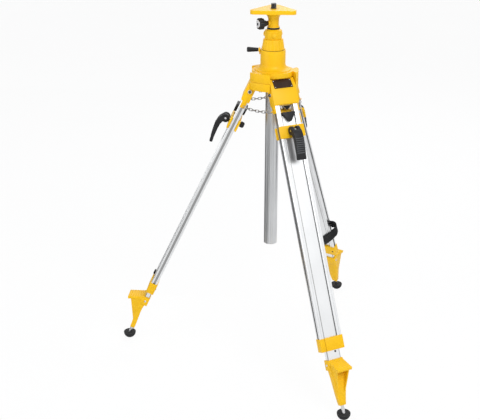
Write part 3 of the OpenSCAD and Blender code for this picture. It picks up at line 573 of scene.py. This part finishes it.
# %% [markdown]
# ## Repeats with Geometry Nodes
# Screws, links and stitches are the same small shape over and over. A node tree places one source
# shape on many points and ends in Realize Instances and Set Material, so the result is a plain mesh. Points
# carry three attributes: the way that the shape faces, the way that it is turned, and its stretch.

# %% A tree that places a shape on points
INPUTS = {"Geometry": "Geometry", "Shape": "Object", "Size": "Float", "Finish": "Material"}
LABELS = ("facing", "turned", "stretch")


def named_vector(tree, label):
    node = add_node(tree, "GeometryNodeInputNamedAttribute", {"Name": label}, data_type="FLOAT_VECTOR")
    return node.outputs["Attribute"]


def placing_tree():
    tree = bpy.data.node_groups.new("place_on_points", "GeometryNodeTree")
    for label, kind in INPUTS.items():
        tree.interface.new_socket(label, in_out="INPUT", socket_type="NodeSocket" + kind)
    tree.interface.new_socket("Geometry", in_out="OUTPUT", socket_type="NodeSocketGeometry")
    given = add_node(tree, "NodeGroupInput").outputs
    shape = add_node(tree, "GeometryNodeObjectInfo", {"Object": given["Shape"]}).outputs["Geometry"]
    facing, turned, stretch = (named_vector(tree, label) for label in LABELS)
    upright = add_node(tree, "FunctionNodeAlignRotationToVector", {"Vector": facing}, axis="Z").outputs[0]
    spun = add_node(tree, "FunctionNodeAlignRotationToVector", {"Rotation": upright, "Vector": turned},
                    axis="X", pivot_axis="Z").outputs[0]
    size = add_node(tree, "ShaderNodeVectorMath", {0: stretch, "Scale": given["Size"]},
                    operation="SCALE").outputs["Vector"]
    placed = add_node(tree, "GeometryNodeInstanceOnPoints", {"Points": given["Geometry"], "Instance": shape,
                                                             "Rotation": spun, "Scale": size}).outputs[0]
    real = add_node(tree, "GeometryNodeRealizeInstances", {"Geometry": placed}).outputs[0]
    coated = add_node(tree, "GeometryNodeSetMaterial", {"Geometry": real, "Material": given["Finish"]})
    tree.links.new(coated.outputs[0], add_node(tree, "NodeGroupOutput").inputs[0])
    return tree


place_on_points = placing_tree()
tree_inputs = {s.name: s.identifier for s in place_on_points.interface.items_tree if s.in_out == "INPUT"}
print("tree inputs:", list(tree_inputs))

# %% [markdown]
# ## Placing a shape
# The points go into a mesh of their own, which carries the tree as a modifier. The evaluated result becomes
# the piece, and the carrier is thrown away.

# %% Placing helpers
UNIT = (1.0, 1.0, 1.0)


def place(name, shape, points, finish, body=None, size=1.0):
    """points: (place, facing, turned) or (place, facing, turned, stretch), in metres."""
    mesh = bpy.data.meshes.new(name)
    mesh.from_pydata([tuple(p[0]) for p in points], [], [])
    for index, label in enumerate(LABELS, 1):
        layer = mesh.attributes.new(label, "FLOAT_VECTOR", "POINT")
        layer.data.foreach_set("vector", [c for p in points for c in (p[index] if len(p) > index else UNIT)])
    carrier = add_object(name + "_points", mesh)
    placing = carrier.modifiers.new("placing", "NODES")
    placing.node_group = place_on_points
    for label, value in (("Shape", shape), ("Size", size), ("Finish", finish)):
        placing[tree_inputs[label]] = value
    done = plain_mesh(carrier, name)
    carrier.modifiers.remove(placing)
    bpy.data.objects.remove(carrier)
    drop_layers(done, LABELS)
    smooth_mesh(done, degrees=40.0)
    return add_piece(name, done, finish, body)


def source_shape(mesh):
    return bpy.data.objects.new(mesh.name, mesh)


print("placing helpers ready")

# %% [markdown]
# ## Shapes turned on a lathe
# Screw heads, rivets and the knob's face are all round, so each is a profile spun about Z. A profile is a row
# of radii and heights in millimetres. Doubles on the axis are merged at the end, because a pole has to be one
# point. With six steps the lathe makes a hexagon.

# %% Lathe
def lathe(name, profile, steps=32):
    verts, faces = [], []
    for radius, height in profile:
        for k in range(steps):
            angle = 2.0 * math.pi * k / steps
            verts.append((radius * MM * math.cos(angle), radius * MM * math.sin(angle), height * MM))
    for row in range(len(profile) - 1):
        for k in range(steps):
            a, b = row * steps + k, row * steps + (k + 1) % steps
            faces.append((a, b, b + steps, a + steps))
    mesh = bpy.data.meshes.new(name)
    mesh.from_pydata(verts, [], faces)
    work = bmesh.new()
    work.from_mesh(mesh)
    bmesh.ops.remove_doubles(work, verts=work.verts, dist=1e-6)
    bmesh.ops.dissolve_degenerate(work, edges=work.edges, dist=1e-7)
    bmesh.ops.recalc_face_normals(work, faces=work.faces)
    work.to_mesh(mesh)
    work.free()
    return mesh


BUTTON = [(0, 0.9), (1.5, 0.9), (1.7, 1.0), (1.9, 1.9), (2.6, 1.75), (3.3, 1.3), (3.7, 0.6), (3.8, 0),
          (0, -0.3)]
HEXAGON = [(0, 3.6), (4.0, 3.6), (4.7, 3.1), (4.8, 0.2), (4.8, 0), (0, -0.3)]
WASHER = [(3.0, 1.0), (6.2, 1.0), (6.5, 0.7), (6.5, 0), (3.0, -0.2), (3.0, 1.0)]
RIVET = [(0, 0.7), (0.6, 0.62), (1.1, 0.35), (1.3, 0), (0, -0.2)]
button = source_shape(lathe("button_head", BUTTON, steps=28))
hexagon = source_shape(lathe("hexagon_head", HEXAGON, steps=6))
washer = source_shape(lathe("washer", WASHER))
rivet = source_shape(lathe("rivet", RIVET, steps=16))
print("turned shapes:", [s.name for s in (button, hexagon, washer, rivet)])

# %% [markdown]
# ## Screws and bolts
# Each casting is held on its rails by a through bolt, with a washer and a hexagon head on either side. The
# brackets and feet have button-head screws, and a dark screw on the inner bar stops it at the bracket. Their
# places are written in the leg's own frame, in millimetres, and moved out to the leg.

# %% Screws on the legs
CASTING_HALF, BOSS_T, WASHER_T, BOLT_S, BOLT_SIZE = 39.5, 1.0, 1.0, 22.5, 0.92
BRACKET_S, BRACKET_OUT, BRACKET_SCREW_S, BRACKET_SCREW_Y, BRACKET_SCREW = 723.0, 12.5, 18.5, 29.0, 0.72
BAR_OUT, STOP_S, STOP_Y, STOP_SCREW = 7.0, 42.0, 7.0, 0.8
FOOT_S, FOOT_HALF, FOOT_SCREW_S, FOOT_SCREW = 786.0, 24.6, 14.0, 0.95
screw_count = 0
for side in LEGS:
    upper, lower = "upper_" + side, "lower_" + side
    up, out = along_leg(side, 0, 0, 1), along_leg(side, 1, 0, 0)
    ways = [(s, along_leg(side, 0, s, 0)) for s in (1, -1)]
    ends = [(on_leg(side, 0, s * (CASTING_HALF + BOSS_T), BOLT_S), way, up) for s, way in ways]
    tops = [(on_leg(side, 0, s * (CASTING_HALF + BOSS_T + WASHER_T), BOLT_S), way, up) for s, way in ways]
    bracket = [(on_leg(side, -BRACKET_OUT, y, BRACKET_S + BRACKET_SCREW_S), -out, up)
               for y in (-BRACKET_SCREW_Y, BRACKET_SCREW_Y)]
    stop = [(on_leg(side, BAR_OUT, STOP_Y, BRACKET_S + STOP_S), out, up)]
    foot = [(on_leg(side, 0, s * FOOT_HALF, FOOT_S + FOOT_SCREW_S), way, up) for s, way in ways]
    place("casting_washers_" + side, washer, ends, steel, upper, BOLT_SIZE)
    place("casting_bolts_" + side, hexagon, tops, dark_steel, upper, BOLT_SIZE)
    place("bracket_screws_" + side, button, bracket, dark_steel, upper, BRACKET_SCREW)
    place("bar_stop_" + side, button, stop, dark_steel, lower, STOP_SCREW)
    place("foot_screws_" + side, button, foot, steel, lower, FOOT_SCREW)
    screw_count += len(tops) + len(bracket) + len(stop) + len(foot)
print("screws on the legs:", screw_count)

# %% [markdown]
# ## Set screws
# Three set screws, painted over with the casting, clamp the column's cap. They sit in its bosses, a third of
# a turn apart.

# %% Set screws in the column's cap
CAP_FOOT, BOSS_UP, BOSS_OUT, SET_SCREW = 993.2, 13.0, 27.5, 1.1
boss_z = (CAP_FOOT + BOSS_UP - HEAD_H / MM) * MM
set_screws = []
for degrees in (40.0, 160.0, 280.0):
    ray = Vector((math.cos(math.radians(degrees)), math.sin(math.radians(degrees)), 0))
    set_screws.append((ray * BOSS_OUT * MM + Vector((0, 0, boss_z)), ray, (0, 0, 1)))
place("cap_set_screws", button, set_screws, pale_yellow_and_edge_highlight, "column", SET_SCREW)
print("set screws:", len(set_screws))

# %% [markdown]
# ## A chain's link
# Short chains keep the legs from spreading too far. A link is a bent wire with two straight sides: a ring of
# points is carried along a closed path, and each ring is joined to the next.

# %% Link
LINKS, WIRE, LINK_END, LINK_PLAY, SAG = 9, 1.1, 3.4, 0.5, 5.0
EYE_R, EYE_WIRE, EYE_PLAY, CHAIN_S = 4.0, 1.2, 0.35, 70.0
HALF_LOBE = math.radians(60.0)


def tube_faces(rings, around):
    """Quads of a closed tube: ring k joins ring k + 1, and the last joins the first."""
    return [(k * around + j, k * around + (j + 1) % around,
             (k + 1) % rings * around + (j + 1) % around, (k + 1) % rings * around + j)
            for k in range(rings) for j in range(around)]


def wire_loop(name, half_width, straight, wire, around=10, bend=8):
    path = []
    for end in (1, -1):
        for k in range(bend + 1):
            a = -math.pi / 2 + math.pi * k / bend
            bent = Vector((straight / 2 + half_width * math.cos(a), half_width * math.sin(a), 0))
            path.append(end * bent)
    verts = []
    for k, centre in enumerate(path):
        ahead = (path[(k + 1) % len(path)] - path[k - 1]).normalized()
        aside = Vector((ahead.y, -ahead.x, 0))
        for j in range(around):
            b = 2 * math.pi * j / around
            verts.append(centre + aside * wire * math.cos(b) + Vector((0, 0, wire * math.sin(b))))
    mesh = bpy.data.meshes.new(name)
    mesh.from_pydata(verts, [], tube_faces(len(path), around))
    work = bmesh.new()
    work.from_mesh(mesh)
    bmesh.ops.recalc_face_normals(work, faces=work.faces)
    work.to_mesh(mesh)
    work.free()
    return mesh


hook = CASTING_HALF + 2 * EYE_R - EYE_WIRE - WIRE - EYE_PLAY
chain_r = HINGE_R / MM + CHAIN_S * math.sin(LEAN)
chain_z = (HINGE_H - HEAD_H) / MM - CHAIN_S * math.cos(LEAN)
chain_half = chain_r * math.sin(HALF_LOBE) - hook * math.cos(HALF_LOBE)
chain_mid = chain_r * math.cos(HALF_LOBE) + hook * math.sin(HALF_LOBE)
step = (2 * chain_half - 2 * WIRE - LINK_PLAY) / LINKS
straight = step - 2 * LINK_END + 2 * WIRE + LINK_PLAY
link = source_shape(wire_loop("link", LINK_END * MM, straight * MM, WIRE * MM))
print("link step:", round(step, 2), "mm")

# %% [markdown]
# ## Chains between the legs
# The same link is placed along a shallow hanging curve, every second one turned a quarter. Each chain is cut
# in the middle, and each half is named after one of the two legs that the chain joins.

# %% Chain halves
CHAINS = {0.0: ("front", "rear"), 120.0: ("rear", "left"), 240.0: ("left", "front")}  # keyed by degrees


def link_spot(k, turn):
    u = (k - (LINKS - 1) / 2) * step
    share = u / chain_half
    slant = math.atan(2 * SAG * share / chain_half)
    run = turn @ Vector((math.cos(slant), 0, math.sin(slant)))
    level = turn @ Vector((0, 1, 0))
    spot = turn @ Vector((u, -chain_mid, chain_z + SAG * (share * share - 1))) * MM
    facing = level if k % 2 == 0 else run.cross(level)
    return spot, facing, run


for lobe, (before, after) in CHAINS.items():
    turn = Matrix.Rotation(math.radians(lobe + 90.0), 3, "Z")
    for side, first, last in ((before, 0, LINKS // 2), (after, LINKS // 2 + 1, LINKS - 1)):
        spots = [link_spot(k, turn) for k in range(first, last + 1)]
        half = place("chain_%s_%d" % (side, first), link, spots, chain_steel)
        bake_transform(half)
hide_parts("leg_chains")

# %% [markdown]
# ## The strap's course
# A loose loop of black webbing hangs round the rear leg and rests on its bracket. It follows a closed curve
# through a few points in the leg's frame: out of the inner or outer face, across the leg, and up from the
# bracket's top, in millimetres.

# %% Strap's course
STRAP_W, STRAP_T, RAIL_GAP = 30.0, 2.0, 1.6
LEAST_LEVEL = 0.72  # a steeper course than this doesn't make the band any taller
outer, edge_y = RAIL_D / 2 / MM + RAIL_GAP, LEG_W / 2 / MM
inner = -outer
ROUTE = np.array([
    (inner - 1.8, -20, 45), (inner - 0.2, -4, 29), (inner, 12, 19), (inner, 27, 16.5),
    (inner + 0.5, edge_y + 1.1, 16.5), (0, edge_y + 2.2, 20), (outer - 0.5, edge_y + 1.1, 29),
    (outer, 25, 40), (outer, 10, 57), (outer + 0.3, -8, 77), (outer + 1.2, -25, 93),
    (outer + 1.4, -42, 100), (outer - 2.6, -55, 102), (1, -61.5, 99), (-8, -60, 92),
    (inner - 2.9, -50, 81), (inner - 3.9, -36, 64)], float)


def closed_curve(points, steps):
    """A Catmull-Rom curve through the points, back to the first."""
    count, line = len(points), []
    for k in range(count):
        a, b, c, d = (points[(k + j) % count] for j in (-1, 0, 1, 2))
        for j in range(steps):
            f = j / steps
            bend = (2 * a - 5 * b + 4 * c - d) * f ** 2 + (3 * b - a - 3 * c + d) * f ** 3
            line.append(0.5 * (2 * b + (c - a) * f + bend))
    return np.array(line)


middle_line = closed_curve(ROUTE, steps=8)
rings = len(middle_line)
tangent = np.roll(middle_line, -1, 0) - np.roll(middle_line, 1, 0)
tangent /= np.linalg.norm(tangent, axis=1)[:, None]
level = np.hypot(tangent[:, 0], tangent[:, 1])
normal = np.stack([-tangent[:, 1], tangent[:, 0], np.zeros(rings)], 1) / level[:, None]
half_width = STRAP_W / 2 / np.maximum(LEAST_LEVEL, level)
lengths = np.linalg.norm(np.roll(middle_line, -1, 0) - middle_line, axis=1)
around = np.concatenate([[0.0], np.cumsum(lengths)])

# %% [markdown]
# ## The strap's band
# A flat section with rounded edges is carried along the course. Its UV map runs along and across the band in
# metres, so that the weave follows it round every corner.

# %% Strap's band
ACROSS, ROUND = (-0.96, -0.6, -0.2, 0.2, 0.6, 0.96), 0.55
section = [(-ROUND, -1.0)] + [(-1.0, wide) for wide in ACROSS] + [(-ROUND, 1.0)]
section += [(-thick, -wide) for thick, wide in section]


def on_strap(k, spot, thick, wide):
    """A place on the rear leg, off the middle line by shares of half the strap's thickness and width."""
    x, y, z = spot + normal[k] * thick * STRAP_T / 2 + np.array((0, 0, wide * half_width[k]))
    return on_leg("rear", x, y, BRACKET_S - z)


strap_verts = [on_strap(k, middle_line[k], thick, wide) for k in range(rings) for thick, wide in section]
strap_mesh = bpy.data.meshes.new("strap")
strap_mesh.from_pydata(strap_verts, [], tube_faces(rings, len(section)))
strap_uv = []
for k in range(rings):
    for j in range(len(section)):
        near, far = (section[i % len(section)][1] * STRAP_W / 2 * MM for i in (j, j + 1))
        here, ahead = around[k] * MM, around[k + 1] * MM
        strap_uv += [here, near, here, far, ahead, far, ahead, near]
strap_mesh.uv_layers.new(name="weave").data.foreach_set("uv", strap_uv)
smooth_mesh(strap_mesh, degrees=50.0)
print("strap faces:", len(strap_mesh.polygons))

# %% [markdown]
# ## Weave
# Webbing is a plain weave with heavy lengthwise ribs. Two sine waves on the UV map, one along the band and
# one across it, raise the yarns where they meet, and the colour darkens between them as painted shade.

# %% Webbing finish
YARN_ALONG, YARN_ACROSS = 1.6 * MM, 2.6 * MM


def webbing(name, tint):
    finish, tree, shader, _ = new_finish(name, roughness=0.85, sheen_weight=0.06, sheen_roughness=0.5,
                                         specular_ior_level=0.2)
    where = add_node(tree, "ShaderNodeUVMap", uv_map="weave").outputs[0]
    split = add_node(tree, "ShaderNodeSeparateXYZ", {"Vector": where}).outputs
    waves = [maths(tree, "SINE", maths(tree, "MULTIPLY", split[axis], 2 * math.pi / yarn))
             for axis, yarn in enumerate((YARN_ALONG, YARN_ACROSS))]
    wave = {"Value": maths(tree, "MULTIPLY", *waves), "From Min": -1.0, "From Max": 1.0}
    height = add_node(tree, "ShaderNodeMapRange", wave).outputs["Result"]
    # The colour follows the yarns' height and is darker in the dips: painted shade.
    feed(tree, shader, base_color=ramp(tree, height, [(0.2, shaded(tint, 0.55)), (0.8, shaded(tint, 1.3))]))
    bump(tree, shader, height, strength=0.5, distance=0.5 * MM)
    return finish


strap_webbing = webbing("strap_webbing", (0.009, 0.009, 0.010))
thread = moulded("stitch_thread", (0.03, 0.03, 0.033), rough=0.7, grain=FINE, depth=0.1 * MM)
strap = add_piece("strap_loop", strap_mesh, strap_webbing, "upper_rear")
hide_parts("carry_strap")
print("webbing:", strap_webbing.name, thread.name)

# %% [markdown]
# ## Stitches
# A row of stitches runs along each edge of the band. One small bead is drawn out along the strap for each
# stitch.

# %% Stitches along the strap's edges
ROWS, STITCH_STEP, ROW_END, STITCH = (-0.8, 0.8), 4.2, 2.0, (3.4, 1.0, 0.8)
STITCH_SIZE = 0.8
BEAD = [(0, 0.5), (0.28, 0.35), (0.4, 0), (0.28, -0.35), (0, -0.5)]
dash = source_shape(lathe("stitch", BEAD, steps=10))
stitches = []
for row in ROWS:
    for spot in np.arange(0.0, around[-1] - ROW_END, STITCH_STEP):
        k = int(np.searchsorted(around, spot, "right")) - 1
        f = (spot - around[k]) / lengths[k]
        centre = middle_line[k] * (1 - f) + middle_line[(k + 1) % rings] * f
        stitches.append((on_strap(k, centre, 1.0, row), along_leg("rear", *normal[k]),
                         along_leg("rear", *tangent[k]), STITCH))
seam = place("strap_stitches", dash, stitches, thread, "upper_rear", STITCH_SIZE)
print("stitches:", len(stitches))

# %% [markdown]
# ## The fixing stud's thread
# Instruments screw onto a coarse thread on the head. The solid is a plain pin of the thread's outside radius.
# Here its upper part is cut away and a wall takes its place, whose radius falls and rises once for each turn
# of the thread. The outside radius, and so the fit, stays the same.

# %% Threaded stud
STUD_R, STUD_TOP, PITCH, DEPTH = 7.94 * MM, 14.7 * MM, 2.31 * MM, 1.15 * MM
CUT_Z, AROUND, RISE = -0.6 * MM, 64, 0.22 * MM
FLANK, CREST = 1.25, 0.12
TIP_IN, TIP_RUN, TIP_SLOPE, END_SLOPE = 0.9 * MM, 1.4 * MM, 3.0, 0.6


def thread_radius(z, turn):
    phase = (z / PITCH - turn) % 1.0
    groove = max(0.0, min(1.0, abs(2.0 * phase - 1.0) * FLANK - CREST))
    tip = STUD_R - TIP_IN + max(0.0, STUD_TOP - TIP_RUN - z) * TIP_SLOPE
    end = STUD_R - TIP_IN + max(0.0, STUD_TOP - z) * END_SLOPE
    return min(STUD_R - DEPTH * groove, tip, end)


stud_mesh = nodes["fixing_stud"].data.copy()
work = bmesh.new()
work.from_mesh(stud_mesh)
bmesh.ops.remove_doubles(work, verts=work.verts, dist=DOUBLES)
bmesh.ops.bisect_plane(work, geom=work.verts[:] + work.edges[:] + work.faces[:], plane_co=(0, 0, CUT_Z),
                       plane_no=(0, 0, 1), clear_outer=True)
rows = []
for z in np.arange(CUT_Z, STUD_TOP, RISE):
    ring = []
    for k in range(AROUND):
        r, a = thread_radius(z, k / AROUND), 2 * math.pi * k / AROUND
        ring.append(work.verts.new((r * math.cos(a), r * math.sin(a), z)))
    rows.append(ring)
for low, high in zip(rows, rows[1:]):
    for k in range(AROUND):
        work.faces.new((low[k], low[(k + 1) % AROUND], high[(k + 1) % AROUND], high[k]))
work.faces.new(rows[-1])
work.to_mesh(stud_mesh)
work.free()
drop_layers(stud_mesh, SHADING)
smooth_mesh(stud_mesh, degrees=40.0)
stud = add_piece("threaded_stud", stud_mesh, dark_steel, "stud")
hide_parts("fixing_stud")
print("thread turns:", round(STUD_TOP / PITCH, 1))

# %% [markdown]
# ## The drive knob's face
# The black knob carries a bright disc with turned rings and a dark plug in its middle. Both are lathe
# shapes, set out along the knob's axis, which points to the front left.

# %% Knob face
KNOB_TURN, NECK_FOOT, KNOB_UP = math.radians(210.0), 1026.2, 12.0
knob_axis = Vector((math.cos(KNOB_TURN), math.sin(KNOB_TURN), 0))
knob_z = (NECK_FOOT + KNOB_UP - HEAD_H / MM) * MM
knob_place = Matrix.Translation((0, 0, knob_z)) @ knob_axis.to_track_quat("Z", "X").to_matrix().to_4x4()
DISC = [(4.2, 48.9), (4.2, 49.7), (6.0, 49.75), (6.3, 49.6), (8.2, 49.6), (8.5, 49.75), (10.2, 49.7),
        (11.0, 49.4), (11.2, 48.9)]
PLUG = [(0, 50.7), (2.4, 50.6), (3.6, 50.2), (4.0, 49.4), (4.0, 48.9)]
disc = lathe("knob_disc", DISC, steps=48)
plug = lathe("knob_plug", PLUG)
for mesh, finish, slot in ((disc, bright_steel, "steel"), (plug, black, "black")):
    mesh.transform(knob_place)
    smooth_mesh(mesh)
    add_piece(mesh.name, mesh, finish, "knob")
print("knob's axis at", round(knob_z, 4))

# %% [markdown]
# ## Nameplate
# The front casting carries a dark plate on its slope. It is left bare: a plain face inside a raised rim,
# with a rivet in each corner. The plate is a set of nested rectangles, lifted where the rim is, and it
# replaces the plain solid in the same place.

# %% Bare plate with rivets
PLATE_OUT, PLATE_UP, PLATE_SLOPE = 4.1, 21.3, math.radians(45.0)
PLATE_HALF, PLATE_TOP, PLATE_LOW, PLATE_FACE = 29.5, -3.0, -31.0, 0.8
RIM = [(0.0, 0.02), (0.6, 1.05), (1.8, 1.2), (2.2, 1.2), (2.6, PLATE_FACE)]  # inset and height
RIVET_Y, RIVET_Z = (-25.6, 25.6), (-7.0, -27.0)
plate_frame = (leg_frame("front") @ Matrix.Translation((PLATE_OUT * MM, 0, PLATE_UP * MM))
               @ Matrix.Rotation(LEAN - PLATE_SLOPE, 4, "Y"))
verts, faces = [], []
for inset, height in RIM:
    half, low, top = PLATE_HALF - inset, PLATE_LOW + inset, PLATE_TOP - inset
    for y, z in ((-half, low), (half, low), (half, top), (-half, top)):
        verts.append((height * MM, y * MM, z * MM))
for k in range(0, len(verts) - 4, 4):
    for j in range(4):
        faces.append((k + j, k + (j + 1) % 4, k + 4 + (j + 1) % 4, k + 4 + j))
faces.append(tuple(range(len(verts) - 4, len(verts))))
plate_mesh = bpy.data.meshes.new("bare_plate")
plate_mesh.from_pydata(verts, [], faces)
plate_mesh.transform(plate_frame)
smooth_mesh(plate_mesh, degrees=25.0)
plate = add_piece("bare_plate", plate_mesh, plate_brown, "upper_front")
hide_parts("nameplate")
face_out, face_side = (plate_frame.to_3x3() @ Vector(way) for way in ((1, 0, 0), (0, 1, 0)))
rivets = [(plate_frame @ Vector((PLATE_FACE * MM, y * MM, z * MM)), face_out, face_side)
          for y in RIVET_Y for z in RIVET_Z]
place("plate_rivets", rivet, rivets, steel, "upper_front")
print("plate:", 2 * PLATE_HALF, "by", PLATE_TOP - PLATE_LOW, "mm,", len(rivets), "rivets")

# %% [markdown]
# ## Small trim
# Two small things are left. A dark ring stands in for the shadow line where the cover sits on the drum,
# a painted shadow; its height comes from the cover's own solid. A black keeper for the strap's end sits on
# the left leg above its bracket.

# %% Shadow ring and keeper
SPIGOT, COVER_R = 6.0, 32.6
SHADOW_RING = [(-0.4, 0.05), (0.5, 0.05), (0.6, 0.4), (0.4, 0.9), (-0.4, 0.9)]  # off the cover's edge
KEEPER, KEEPER_SINK, KEEPER_Y, KEEPER_UP = (5.0, 13.0, 15.0), 0.1, -28.0, 8.5
KEEPER_EDGE, KEEPER_STEPS = 1.6, 3
shadow_z = min(v.co.z for v in nodes["top_cover"].data.vertices) / MM + SPIGOT
# A black ring at the cover's foot: painted shadow.
shadow_ring = lathe("cover_seal", [(COVER_R + out, shadow_z + up) for out, up in SHADOW_RING], steps=96)
smooth_mesh(shadow_ring)
add_piece("cover_seal", shadow_ring, rubber, "base")

keeper_mesh = bpy.data.meshes.new("strap_keeper")
keeper_x = RAIL_D / 2 / MM + KEEPER[0] / 2 - KEEPER_SINK
work = bmesh.new()
bmesh.ops.create_cube(work, size=1.0)
bmesh.ops.scale(work, vec=Vector(KEEPER) * MM, verts=work.verts)
bmesh.ops.translate(work, vec=Vector((keeper_x, KEEPER_Y, KEEPER_UP - BRACKET_S)) * MM, verts=work.verts)
bmesh.ops.bevel(work, geom=work.edges, offset=KEEPER_EDGE * MM, segments=KEEPER_STEPS, affect="EDGES")
work.to_mesh(keeper_mesh)
work.free()
keeper_mesh.transform(leg_frame("left"))
smooth_mesh(keeper_mesh)
add_piece("strap_keeper", keeper_mesh, black, "upper_left")
print("seal at", round(shadow_z * MM, 4))
